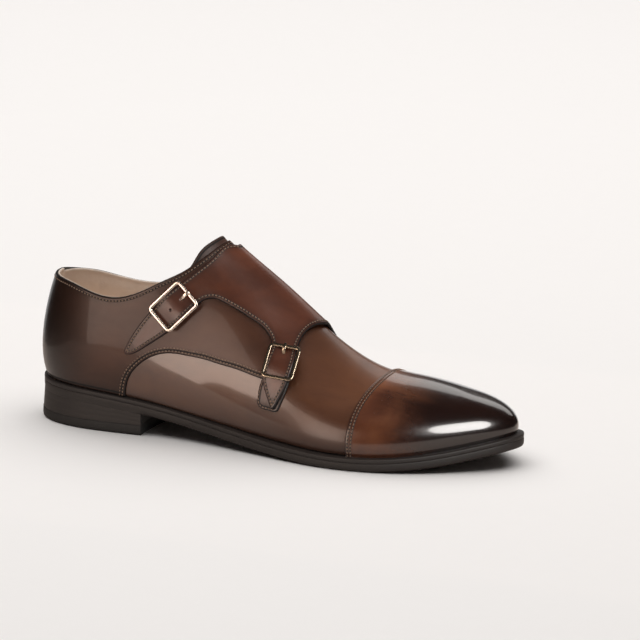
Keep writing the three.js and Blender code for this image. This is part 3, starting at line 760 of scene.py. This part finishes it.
THREAD, LINING, EDGE, RUBBER = thread_finish(), lining_finish(), edge_finish(), rubber_finish()
PALE_METAL = metal_finish("pale_metal", (0.86, 0.75, 0.66), (0.72, 0.61, 0.52))
# The lower buckle is the same metal as the upper one; its darker colour is painted shade, from the dark that it
# reflects.
SHADED_METAL = metal_finish("shaded_metal", (0.46, 0.37, 0.27), (0.34, 0.27, 0.2))
print("finishes:", len(bpy.data.materials))

# %% [markdown]
# ## The patterns
# The vamp covers the forefoot and runs under everything else. The outer quarter covers the heel's outer
# side. The inner quarter covers the other side and runs on over the instep as the flap, whose two straps
# come down on the outer side. Each outline is joined from smooth edges, taken anticlockwise.


# %% edges that several pieces share
def on_ridge(x):
    return [[float(ridge_share(x)), 1.0]]


def topline(side, start, end, count=90):
    """The topline from x = start to end: the side's table of heights, taken to share and rise."""
    x = np.linspace(start, end, count)
    z = TOPLINE["outer" if side < 0 else "inner"](x)
    return from_side(np.stack([x, z], -1), side, 0.8)


def up_heel(rises, count=30):
    return np.stack([np.zeros(count), np.linspace(*rises, count)], -1)


def along_feather(side, start, end, count=60):
    share = feather_share(side, np.linspace(start, end, count))
    return np.stack([share, np.full(count, 0.0 if side < 0 else 2.0)], -1)


def rise_at(side, z):
    """The rise at which the heel rib has height z."""
    rises = np.linspace(0, 1, 400)
    up = float(np.interp(z, lifted(0.0, rises, 1.0)[:, 2], rises))
    return up if side < 0 else 2 - up


OUTER_SEAM = [
    [-85, 20.8], [-84.3, 26], [-82.7, 31.8], [-80.1, 36.6], [-75.8, 41.5], [-70.4, 45.8], [-63.2, 49.3],
    [-52.9, 51.2], [-43, 50.8], [-32.6, 50.1], [-22.5, 48.6], [-11.9, 47.3], [3, 44.4], [9, 43.5],
]
INNER_SEAM = [
    [26.5, 41.5], [20, 44.4], [8, 47], [-15, 50], [-42, 50.5], [-53, 50.6], [-62, 48.5], [-69.5, 45.5],
    [-75.5, 41.5], [-80, 36.6], [-83, 31.5], [-84.5, 26], [-85, 20.8],
]
# the topline's points that a spline runs through
EVERY_EIGHTH = [0, 2, 8, 16, 24, 32, 40, 48, 56, 64, 72, 80, 88]
topline_back = float(TOPLINE["outer"](-141.0))

outer_seam = through(from_side(OUTER_SEAM, -1, 1.3), 90)
outer_top = topline(-1, -139.5, -44)
outer_top = np.vstack([[[0.0, rise_at(-1, topline_back)]], outer_top, on_ridge(-33.5)])
outer_top = through(outer_top[[*EVERY_EIGHTH, -1]], 160)
inner_top = topline(1, -139.5, -50)
inner_top = np.vstack([
    [[0.0, rise_at(1, topline_back)]], inner_top, from_side([[-40, 103.5]], 1), on_ridge(-28.6),
])
inner_top = through(inner_top[[*EVERY_EIGHTH, -2, -1]], 160)
print("seam points placed:", len(outer_seam), len(outer_top), len(inner_top))

# %% the vamp
vamp_front = [*from_side([[80, 30]], -1), *on_ridge(86), *from_side([[80, 30]], 1)]
vamp_back = [
    [feather_share(1, -97.0), 1.98], *from_side([[-92, 34], [-76, 56], [-40, 66], [0, 62]], 1), *on_ridge(18),
    *from_side([[0, 60], [-40, 66], [-76, 56], [-92, 34]], -1), [feather_share(-1, -97.0), 0.02],
]
vamp_outline = np.vstack([
    along_feather(-1, -97, 76), through(vamp_front, 40), along_feather(1, 76, -97), through(vamp_back, 160),
])
vamp = cut_leather("vamp", vamp_outline, -0.9, 0.9, VAMP_CALF)

# %% the outer quarter
quarter_outline = np.vstack([
    outer_seam, through([outer_seam[-1], *from_side([[11, 50], [12, 60]], -1, 1.3), *on_ridge(16)], 30)[1:],
    through([*on_ridge(14), *on_ridge(-10), *on_ridge(-32)], 30), outer_top[::-1],
    up_heel((rise_at(-1, topline_back), 0.0))[1:], along_feather(-1, -149.5, -86)[1:],
])
quarter = cut_leather("outer_quarter", quarter_outline, 0.1, QUARTER + 0.1, QUARTER_CALF)

# %% [markdown]
# The straps pass under each buckle's near side, over its bar, and under its far side. A smooth hump along
# the strap lifts it there.

# %% the inner quarter, flap and straps
FLAP_TOP = [[-32, 112.2], [-36, 106.3], [-41.6, 100.6], [-47.6, 95.3], [-53.5, 90.0], [-60, 83.6]]
UPPER_BACK = [[-60, 83.6], [-68.6, 73.8], [-75.7, 64.4], [-81, 55.6], [-83.6, 50.3]]
UPPER_FRONT = [
    [-83.6, 50.3], [-83.3, 48.6], [-81.7, 48.0], [-75.9, 49.9], [-67, 55.9], [-60, 60.8], [-53.5, 66],
    [-46.2, 73.3], [-40, 80.3], [-36.1, 83.6],
]
CUTOUT = [
    [-36.1, 83.6], [-31.2, 84.7], [-25, 83.3], [-18.4, 80.6], [-12.2, 77.9], [-5.4, 74.5], [0.1, 71.6],
    [4.1, 68.3], [7.4, 64.3], [8.9, 60],
]
LOWER_BACK = [[8.9, 60], [8.6, 55], [8.3, 49], [8.6, 42.7], [11.2, 36.7], [15.6, 29.4]]
LOWER_FRONT = [
    [15.6, 29.4], [16.5, 28.6], [17.6, 29.2], [19.8, 33.0], [22.4, 39.0], [24.4, 45.6], [24.6, 53.3],
    [22.9, 60.5], [22.6, 66.2],
]
UPPER_BAR, LOWER_BAR = np.array([-53.3, 78.1]), np.array([16.8, 51.6])
UPPER_WAY, LOWER_WAY = np.array([12.8, 13.4]) / 18.53, np.array([-0.2, 10.9]) / 10.902


def strap_hump(spots):
    """Rises over each bar: a bell along the strap, and only on the outer side below the flap's body."""
    hump, spread, reach = 2.6, 9, 12
    at = lifted(spots[:, 0], spots[:, 1], 2.5)[:, [0, 2]]
    outer = spots[:, 1] < 0.98
    rise = 0.0
    for bar, way in ((UPPER_BAR, UPPER_WAY), (LOWER_BAR, LOWER_WAY)):
        along_it = (at - bar) @ way
        across = (at - bar) @ np.array([way[1], -way[0]])
        rise = rise + hump * np.exp(-((along_it / spread) ** 2)) * (np.abs(across) < reach) * outer
    side_rest = 1.4 * (1 - smoothstep(spots[:, 1], 1.0, 1.25)) * smoothstep(at[:, 0], -112, -90)
    return rise + side_rest


def on_flap(points):
    """Side-view points on the outer side, at the height of the flap."""
    return from_side(points, -1, 2.6)


flap_edges = [
    through([*on_ridge(-28.6), *on_flap(FLAP_TOP)], 60), through(on_flap(UPPER_BACK), 50),
    through(on_flap(UPPER_FRONT), 70), through(on_flap(CUTOUT), 80),
    through(on_flap(LOWER_BACK), 50), through(on_flap(LOWER_FRONT), 60),
    through([
        *on_flap(LOWER_FRONT[-1:]), *on_flap([[23.2, 68.6]]), *on_ridge(26.2),
        *from_side([[28.2, 61], [27.6, 50], [26.5, 41.5]], 1),
    ], 60),
]
inner_seam = through(from_side(INNER_SEAM, 1, 1.3), 100)
flap_outline = np.vstack([
    np.vstack([edge[:-1] for edge in flap_edges]), inner_seam,
    along_feather(1, -86, -149.5)[1:], up_heel((2.0, rise_at(1, topline_back)))[1:], inner_top[1:-1],
])
strap_holes = [(from_side([[-54.7, 76.4]], -1)[0], 0.8), (from_side([[-48.9, 82.7]], -1)[0], 1.1)]
straps = cut_leather(
    "inner_quarter_and_straps", flap_outline, 0.15, STRAP, FLAP_CALF, raise_by=strap_hump, holes=strap_holes
)

# %% [markdown]
# ## The toe cap
# The cap is a separate piece sewn over the vamp's front. Ribs from both sides meet round the toe, so it is
# made as a grid: along each level of the ribs from the seam on the outer side, round the toe, to the seam
# on the inner side.


# %% the toe cap
def cap_seam_share(side, up):
    """The share where the seam crosses each level: the seam is a gentle curve of x over z."""
    seam_x = cubic([0, 20, 38, 52, 74], [65.1, 65.8, 67.2, 72.2, 84])
    rise = up if side < 0 else 2 - up

    def short(share):
        at = skin(share, rise)
        return at[:, 0] < seam_x(at[:, 2])

    return halve(short, np.full(len(up), 0.3), np.full(len(up), 0.98))


def shell(name, outer, inner, material, attributes=None):
    """A closed wall from two equal grids of points (rows, columns): its two faces, and strips round its
    border. Points that coincide are merged."""
    rows, cols = outer.shape[:2]
    index = np.arange(rows * cols).reshape(rows, cols)
    quads = np.stack([index[:-1, :-1], index[1:, :-1], index[1:, 1:], index[:-1, 1:]], -1).reshape(-1, 4)
    edge = np.concatenate([index[0, :-1], index[:-1, -1], index[-1, :0:-1], index[:0:-1, 0]])
    after = np.roll(edge, -1)
    n = rows * cols
    strip = np.stack([edge, after, after + n, edge + n], -1)
    faces = np.vstack([quads[:, ::-1], quads + n, strip[:, ::-1][:, [3, 2, 1, 0]]])
    points = np.vstack([outer.reshape(-1, 3), inner.reshape(-1, 3)])
    values = {k: np.concatenate([v.ravel(), v.ravel()]) for k, v in (attributes or {}).items()}
    return merged_piece(name, points, faces, material, values)


up = 1 - (1 - np.linspace(0, 1, 64)) ** 1.15
seam_out, seam_in = cap_seam_share(-1, up), cap_seam_share(1, up)
close = np.array([0, 0.0006, 0.002, 0.005, 0.01, 0.016, 0.024, 0.034])
far = 1 - np.cos(np.linspace(0.18, np.pi / 2, 60))
go = np.concatenate([close, far[far > 0.036]])
go = np.concatenate([go, [1.0]]) if go[-1] < 1 else go  # the last step is at the toe
share_out = seam_out[None] + (1 - seam_out)[None] * go[:, None]
share_in = seam_in[None] + (1 - seam_in)[None] * go[:, None]
cap_share = np.vstack([share_out, share_in[::-1][1:]])
cap_rise = np.vstack([np.tile(up, (len(go), 1)), np.tile(2 - up, (len(go) - 1, 1))])
cap_inner = lifted(cap_share, cap_rise, 0.1)
ahead_of_seam = 1 - np.where(cap_rise <= 1, seam_out[None], seam_in[None])
from_seam = np.concatenate([go, go[::-1][1:]])[:, None] * ahead_of_seam * 340
cap_round = np.sqrt(np.clip(1 - (1 - np.clip(from_seam / 0.8, 0, 1)) ** 2, 0, 1))
cap_outer = lifted(cap_share, cap_rise, 0.1 + (CAP + 0.2) * cap_round)
cap = shell("toe_cap_leather", cap_outer, cap_inner, CAP_CALF, {"rim": from_seam})

# %% [markdown]
# ## Tongue and lining
# The tongue lies under the straps and shows behind the flap as a rolled edge. The lining is pale leather
# inside the heel, and its edge meets the quarters' edge along the topline.

# %% the tongue
tongue_top = [
    *from_side([[-52, 95.5], [-48.3, 101.2], [-45.3, 108.3], [-41.3, 113.4]], -1, -1), *on_ridge(-37.6),
    *from_side([[-41.5, 112.6], [-45.5, 107], [-48.5, 100.5], [-52, 94]], 1, -1),
]
tongue_sides = [
    *from_side([[-52, 95.5], [-42, 84], [-20, 72], [10, 58]], -1, -1), *on_ridge(24),
    *from_side([[10, 58], [-20, 72], [-42, 84], [-52, 94]], 1, -1),
]
tongue_outline = np.vstack([through(tongue_top, 60)[::-1], through(tongue_sides, 140)[1:-1]])


def tongue_lift(spots):
    """Stands a little proud of the last where it leaves the straps."""
    at = skin(spots[:, 0], spots[:, 1])
    return 1.2 * smoothstep(-at[:, 0], 30, 44)


tongue = cut_leather("tongue_leather", tongue_outline, -3.4, 2.2, TONGUE_CALF, raise_by=tongue_lift)


# %% the lining
def rim_rise(side, share):
    """The rise of the lining's upper edge at each share, by halving: the topline, and a line that drops from it
    inside the instep."""
    edge = TOPLINE["outer" if side < 0 else "inner"]

    def under(rise):
        x, _, z = lifted(share, rise if side < 0 else 2 - rise, 0.0).T
        return z <= edge(np.minimum(x, -48)) - 0.9 * np.maximum(x + 48, 0)

    return halve(under, np.full(len(share), 0.02), np.ones(len(share)))


lining_share = np.sin(np.linspace(0, np.pi / 2, 90)) ** 1.6 * 0.62
rim_out, rim_in = rim_rise(-1, lining_share), rim_rise(1, lining_share)
seam = (rim_out[0] + rim_in[0]) / 2
rim_out[0] = rim_in[0] = seam
rows = np.concatenate([np.linspace(0.03, 0.86, 26), [0.9, 0.93, 0.955, 0.97, 0.982, 0.99, 0.996, 0.999, 1.0]])
lining_shares = np.concatenate([lining_share[::-1], lining_share[1:]])
lining_rises = np.vstack([rows[None] * rim_out[::-1, None], 2 - rows[None] * rim_in[1:, None]])
grid_share = np.tile(lining_shares[:, None], (1, len(rows)))
inner_face = lifted(grid_share, lining_rises, -2.2 + 1.0 * smoothstep(rows, 0.88, 0.98)[None])
edge_round = np.sqrt(np.clip(1 - ((1 - np.minimum((1 - rows) / 0.012, 1)) ** 2), 0, 1))[None]
outer_face = lifted(grid_share, lining_rises, -1.1 + 1.05 * smoothstep(rows, 0.88, 0.96)[None])
middle_face = (inner_face + outer_face) / 2
inner_face = middle_face + (inner_face - middle_face) * (0.25 + 0.75 * edge_round[..., None])
lining = shell("lining_leather", outer_face[::-1], inner_face[::-1], LINING)

# %% [markdown]
# ## Sole and heel
# The welt is a strip sewn round the upper's bottom, and the outsole is stitched to it. Both show as a dark
# waxed edge. The heel is a stack of leather lifts with a rubber top lift, and its front face is hollowed.


# %% slabs that follow the outline
def slab(name, profile, top, bottom, material, across=14, count=220):
    """A plate bounded by the outline moved out. profile lists (outset, share of the height) from the bottom
    face's border to the top face's border; both faces are grids across the plate."""
    share = 0.5 - 0.5 * np.cos(np.linspace(0, np.pi, count))
    sides = []
    for side in (-1, 1):
        x, y, nx, ny = feather(side, share)
        low, high = bottom(x), top(x)
        rings = [
            np.stack([x + nx * out(x), y + ny * out(x), low + part * (high - low)], -1) for out, part in profile
        ]
        sides.append(np.stack(rings, 1))
    mix = np.linspace(0, 1, across)[None, :, None]
    faces = [sides[0][:, k, None] * (1 - mix) + sides[1][:, k, None] * mix for k in (0, -1)]
    for face, height in zip(faces, (bottom, top)):
        keep = face[..., 0]
        face[..., 2] = np.where((mix[..., 0] > 0) & (mix[..., 0] < 1), height(keep), face[..., 2])
    loop = np.concatenate([sides[0], faces[1][:, 1:-1], sides[1][:, ::-1], faces[0][:, -2:0:-1]], 1)
    return tube_mesh(name, loop, material)


def tube_mesh(name, loop, material):
    """Rings of points joined one to the next, each ring closed; the end rings close to strips or points."""
    rows, cols = loop.shape[:2]
    index = np.arange(rows * cols).reshape(rows, cols)
    nxt = np.roll(index, -1, axis=1)
    quads = np.stack([index[:-1], nxt[:-1], nxt[1:], index[1:]], -1).reshape(-1, 4)
    return merged_piece(name, loop.reshape(-1, 3), quads, material)


def above_ground(height):
    """A face at that height over the last's bottom."""
    return lambda x: SECTION["sole"](x) + height


def flat(value):
    return lambda x: value + 0 * x


def outset(extra):
    return lambda x: LEDGE(x) + extra


def worn_edge(extra):
    """An outset that is there only ahead of the heel: over the heel the edges are trimmed flush."""
    return lambda x: LEDGE(x) + extra * smoothstep(x, -76, -70)


WELT_EDGE = [
    (outset(-8), 0), (outset(0), 0), (outset(0.15), 0.3), (outset(0.15), 0.75), (outset(0.05), 0.95),
    (outset(-0.15), 1), (outset(-8), 1),
]
welt = slab("welt_strip", WELT_EDGE, above_ground(-0.1), above_ground(-0.3 - WELT), EDGE)
OUTSOLE_EDGE = [
    (outset(-8), 0), (worn_edge(-1.2), 0), (worn_edge(-0.45), 0.06), (outset(0), 0.25), (outset(0.15), 0.55),
    (outset(0.1), 0.9), (outset(0), 1), (outset(-8), 1),
]


def outsole_bottom(x):
    """Parallel to the top, but never under the floor: the ball rests flat on it."""
    return np.maximum(above_ground(-WELT - OUTSOLE - 0.45)(x), 0)


outsole = slab("outsole_leather", OUTSOLE_EDGE, above_ground(-WELT - 0.35), outsole_bottom, EDGE)


# %% the heel
def heel_block(name, levels, material, top, bottom):
    """Levels of (outset, share of the height) from bottom to top. Each level's outline is the heel's back and
    sides closed in front by a shallow arc; rows run from back to front, columns across."""
    count, across, x_front, arc = 90, 24, -74.0, 3.2
    rings = []
    for out, part in levels:
        border = []
        for side in (-1, 1):
            share = feather_share(side, np.array(x_front)) * np.sin(np.linspace(0, np.pi / 2, count))
            x, y, nx, ny = feather(side, share)
            border.append(np.stack([x + nx * out(x), y + ny * out(x)], -1))
        mix = np.linspace(0, 1, across)[None, :, None]
        plan = border[0][:, None] * (1 - mix) + border[1][:, None] * mix
        hollow = arc * (1 - (2 * mix[..., 0] - 1) ** 2) * (np.linspace(0, 1, count)[:, None] ** 6)
        x, y = plan[..., 0] - hollow, plan[..., 1]
        rings.append(np.stack([x, y, bottom(x) + part * (top(x) - bottom(x))], -1))
    low, high = rings[0], rings[-1]
    sides = np.stack([np.concatenate([r[:, 0], r[-1, 1:-1], r[::-1, -1]]) for r in rings])
    points, faces, made = [], [], 0
    for part in (low[:, ::-1], high, sides):
        rows, cols = part.shape[:2]
        index = np.arange(rows * cols).reshape(rows, cols) + made
        corners = [index[1:, :-1], index[1:, 1:], index[:-1, 1:], index[:-1, :-1]]
        faces.append(np.stack(corners, -1).reshape(-1, 4))
        points.append(part.reshape(-1, 3))
        made += rows * cols
    faces[-1] = faces[-1][:, ::-1]
    return merged_piece(name, np.vstack(points), np.vstack(faces), material)


def lifts(count, base):
    """Outsets for a stack of lifts: each lift's edge is full, with a fine groove between lifts."""
    levels = []
    for k in range(count):
        for part, dip in ((0.0, -0.01), (0.03, 0), (0.97, 0), (1.0, -0.01)):
            at = (k + part) / count
            levels.append((lambda x, at=at, dip=dip: LEDGE(x) * at + base * (1 - at) + dip, at))
    return levels


heel_top = above_ground(-WELT - OUTSOLE - 0.4)
heel = heel_block("heel_stack_leather", lifts(3, 2.4), EDGE, heel_top, flat(TOP_LIFT))
LIFT_EDGE = [(flat(1.8), 0), (flat(2.5), 0.1), (flat(2.75), 0.3), (flat(2.6), 0.93), (flat(2.3), 1)]
lift = heel_block("top_lift_rubber", LIFT_EDGE, RUBBER, flat(TOP_LIFT), flat(0))

# %% the sock inside
SOCK_EDGE = [(flat(-9), 0), (flat(-3.6), 0), (flat(-3.4), 0.8), (flat(-3.9), 1), (flat(-9), 1)]
sock = slab("sock_leather", SOCK_EDGE, above_ground(3.3), above_ground(0.3), LINING)

# %% [markdown]
# ## Buckles
# Each buckle is a rounded rectangle of pale metal with a bar across its middle. The prong is folded round
# the bar, comes up through a hole in the strap and rests on the frame's upper side. A leather tab holds the
# buckle: on the shoe it is folded round the bar and stitched down, and here it is a flat piece of leather
# that reaches the bar, with a row of stitches on the lower one.


# %% sweeping a section
def sweep(path, size, closed=False, side_way=None):
    """Rings of a section with rounded corners along a path. Each ring is spanned by the direction out of the
    buckle's plane and the one across the path, or by side_way and the one square to it. size gives the half
    width and half height at each point. Open ends close to a point over two shrinking rings."""
    path = np.asarray(path, float)
    ahead = np.roll(path, -1, axis=0) - np.roll(path, 1, axis=0)
    if not closed:
        ahead[0], ahead[-1] = path[1] - path[0], path[-1] - path[-2]
    ahead = unit(ahead)
    if side_way is None:
        across = unit(np.cross(ahead, [0.0, 0, 1]))
    else:
        across = np.tile(np.asarray(side_way, float), (len(path), 1))
    out = np.cross(across, ahead)
    size = np.broadcast_to(size, (len(path), 2))
    turn = np.linspace(0, 2 * np.pi, 21)[:20]
    c = np.sign(np.cos(turn)) * np.abs(np.cos(turn)) ** 0.62
    s = np.sign(np.sin(turn)) * np.abs(np.sin(turn)) ** 0.62
    sideways = size[:, None, :1] * c[:, None] * across[:, None]
    rings = path[:, None] + sideways + size[:, None, 1:] * s[:, None] * out[:, None]
    if closed:
        return np.vstack([rings, rings[:1]])
    caps = []
    for k, sign in ((0, -1), (-1, 1)):
        reach = ahead[k] * sign * size[k].min()
        shrunk = path[k] + (rings[k] - path[k]) * 0.72 + reach * 0.4
        caps.append((np.tile(path[k] + reach * 0.55, (20, 1)), shrunk))
    return np.vstack([caps[0][0][None], caps[0][1][None], rings, caps[1][1][None], caps[1][0][None]])


def buckle_axes(centre, toward, lift):
    """Where a buckle stands: across the strap, up along it, and out of the last, as columns."""
    spots = from_side([centre, toward], -1, 0.0)
    at = skin(spots[:, 0], spots[:, 1])
    out = normal(spots[:, 0], spots[:, 1])[0]
    up = at[1] - at[0]
    up = unit(up - out * (up @ out))
    return at[0] + out * lift, np.stack([np.cross(up, out), up, out])


def put(points, axes):
    return axes[0] + points @ axes[1]


def rounded_rectangle(width, height, radius, count=96):
    """Sides and quarter-circle corners, evenly stepped by arc."""
    corners = []
    for cx, cy, start in ((1, -1, -90), (1, 1, 0), (-1, 1, 90), (-1, -1, 180)):
        turn = np.radians(start + np.linspace(0, 90, count // 4))
        x = cx * (width / 2 - radius) + radius * np.cos(turn)
        y = cy * (height / 2 - radius) + radius * np.sin(turn)
        corners.append(np.stack([x, y], -1))
    return np.vstack(corners)


def make_buckle(label, centre, toward, lift, length, metal):
    """A frame whose wire runs round a rounded rectangle, a bar across, and a prong. half is from the bar to
    the middle of the frame's end, where the prong's point lies."""
    axes = buckle_axes(centre, toward, lift)
    half = length / 2
    plan = rounded_rectangle(17.8, length, 2.2)
    path = np.column_stack([plan, 0 * plan[:, 0]])
    frame_piece = tube_mesh(f"buckle_{label}", put(sweep(path, (1.0, 0.8), closed=True), axes), metal)
    along_bar = np.linspace(-8.8, 8.8, 25)
    bar = np.column_stack([along_bar, 0 * along_bar, -0.5 - 1.3 * smoothstep(-np.abs(along_bar), -8.6, -6.4)])
    bar_piece = tube_mesh(f"buckle_bar_{label}", put(sweep(bar, (0.66, 0.66)), axes), metal)
    far = half - 9.8
    bend = [[1.0, -0.8], [3.0 + 0.3 * far, -1.9], [4.4 + 0.5 * far, -1.7], [5.8 + 0.6 * far, -0.2],
            [7.4 + 0.8 * far, 1.3], [half - 0.2, 1.6], [half + 1.3, 1.15]]
    arc = through([[0, y, z] for y, z in bend], 40)
    width = np.interp(np.linspace(0, 1, 40), [0, 0.4, 0.9, 1], [1.1, 1.1, 1.0, 0.75])
    prong = sweep(arc, np.stack([width, 0.6 + 0 * width], -1), side_way=(1, 0, 0))
    prong_piece = tube_mesh(f"prong_{label}", put(prong, axes), metal)
    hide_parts(f"buckle_frame_{label}")
    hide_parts(f"buckle_prong_{label}")
    print(f"buckle_{label} centre:", np.round(axes[0], 1))


make_buckle("upper", (-53.3, 78.1), (-40.5, 91.5), 5.35, 23.6, PALE_METAL)
# the lower buckle gets the darker copy of the metal: painted shade
make_buckle("lower", (16.8, 51.6), (16.6, 62.5), 4.9, 19.6, SHADED_METAL)

# %% the tabs that hold the buckles
LOWER_TAB = [
    [7.4, 47], [5.6, 40.8], [5.2, 32.3], [5.6, 29.6], [7.4, 28.0], [12, 27.3], [17.6, 27.0], [19.4, 27.8],
    [20.6, 30.2], [22.2, 35.5], [23.4, 41], [24, 47],
]
lower_tab = through(from_side(LOWER_TAB, -1), 100)
under_buckle = through([lower_tab[-1], *from_side([[16, 52]], -1), lower_tab[0]], 12)[1:-1]
tab_low = cut_leather("lower_tab", np.vstack([lower_tab, under_buckle]), 0.1, 1.1, FLAP_CALF)
corners = from_side([[-58.0, 84.8], [-64.6, 78.2], [-58.0, 70.4], [-51.0, 77.0]], -1)
upper_tab = np.vstack([np.linspace(corners[k], corners[(k + 1) % 4], 14)[:-1] for k in range(4)])
tab_high = cut_leather("upper_tab", upper_tab, 1.4, 0.9, FLAP_CALF)
for tab, node in ((tab_low, "buckle_loop_lower"), (tab_high, "buckle_loop_upper")):
    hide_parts(node)

# %% the seams
SEAM_HEIGHT, TOPLINE_HEIGHT = 1.3, 1.75


def row(path, distance, height):
    """A seam that runs beside a path, at that distance to its left."""
    return level_seam(inward(even(path, 1.0, height), distance, closed=False), height)


cap_seam = np.stack([
    np.concatenate([cap_seam_share(-1, up), cap_seam_share(1, up)[::-1][1:]]),
    np.concatenate([up, 2 - up[::-1][1:]]),
], -1)
TAB_EDGE = [[7.2, 42], [6.0, 36], [6.2, 31], [8.6, 28.6], [13, 28.2], [17.2, 28.0]]
tab_edge = even(through(from_side(TAB_EDGE, -1), 60), 1.0, 1.2)
seams = [row(outer_seam, distance, SEAM_HEIGHT) for distance in (1.6, 3.4)]
seams += [row(inner_seam, distance, TOPLINE_HEIGHT) for distance in (1.6, 3.4)]
seams += [row(outer_top[::-1], 2.2, SEAM_HEIGHT), row(inner_top, 2.2, TOPLINE_HEIGHT)]
seams += [row(cap_seam[::-1], distance, SEAM_HEIGHT) for distance in (1.7, 3.6)]
seams += [level_seam(inward(tab_edge, 0.3, closed=False), 1.15)]
quarter_stitches = sew("quarter_and_cap_stitches", seams, THREAD)

straps_edge = np.vstack([flap_edges[0], *[edge[1:] for edge in flap_edges[1:]]])
strap_row = even(inward(even(straps_edge, 1.0, 2.0), 1.9, closed=False), 0.35, 2.0)
strap_seam = rolling_seam(strap_row, 0.15 + STRAP + strap_hump(strap_row))
strap_stitches = sew("strap_stitches", [strap_seam], THREAD)

# %% what stands for what
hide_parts("upper_toe", "upper_ball", "upper_waist")
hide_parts("upper_heel")
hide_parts("quarter_outer")
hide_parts("straps")
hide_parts("tongue")
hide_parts("toe_cap")
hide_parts("welt")
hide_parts("outsole")
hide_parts("heel_stack")
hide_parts("top_lift")
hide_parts("insole")

# %% [markdown]
# ## The floor
# A pale sweep: a flat floor far wider than the view, so that no horizon shows. A polished shoe on a wide white
# floor would turn grey all over, so what shows in its polish is a small card instead, and the dark beyond it.

# %% the floor
floor_finish = Finish("floor_paper", Specular_IOR_Level=0.2)
paper = floor_finish.noise(90, 4)
floor_material = floor_finish.drive(
    Base_Color=floor_finish.blend(paper, (0.9, 0.866, 0.842), (0.89, 0.856, 0.832)), Roughness=0.8 + 0.1 * paper
)
card_finish = Finish("table_card", Roughness=0.9)
card_color = card_finish.blend(card_finish.noise(60, 3), (0.78, 0.66, 0.59), (0.7, 0.6, 0.53))
card_material = card_finish.drive(Base_Color=card_color)


def lay_sheet(name, half_length, half_width, height, material):
    """A flat rectangle over the floor, round the shoe."""
    mesh = bpy.data.meshes.new(name)
    corners = [
        (-half_length, -half_width, height), (half_length, -half_width, height),
        (half_length, half_width, height), (-half_length, half_width, height),
    ]
    mesh.from_pydata(corners, [], [(0, 1, 2, 3)])
    mesh.materials.append(material)
    sheet = bpy.data.objects.new(name, mesh)
    bpy.context.scene.collection.objects.link(sheet)
    return sheet


floor = lay_sheet("floor", 6, 6, 0, floor_material)
card = lay_sheet("table_card", 0.32, 0.22, 0.0001, card_material)
floor.visible_glossy = False
card.visible_camera = card.visible_diffuse = card.visible_shadow = False
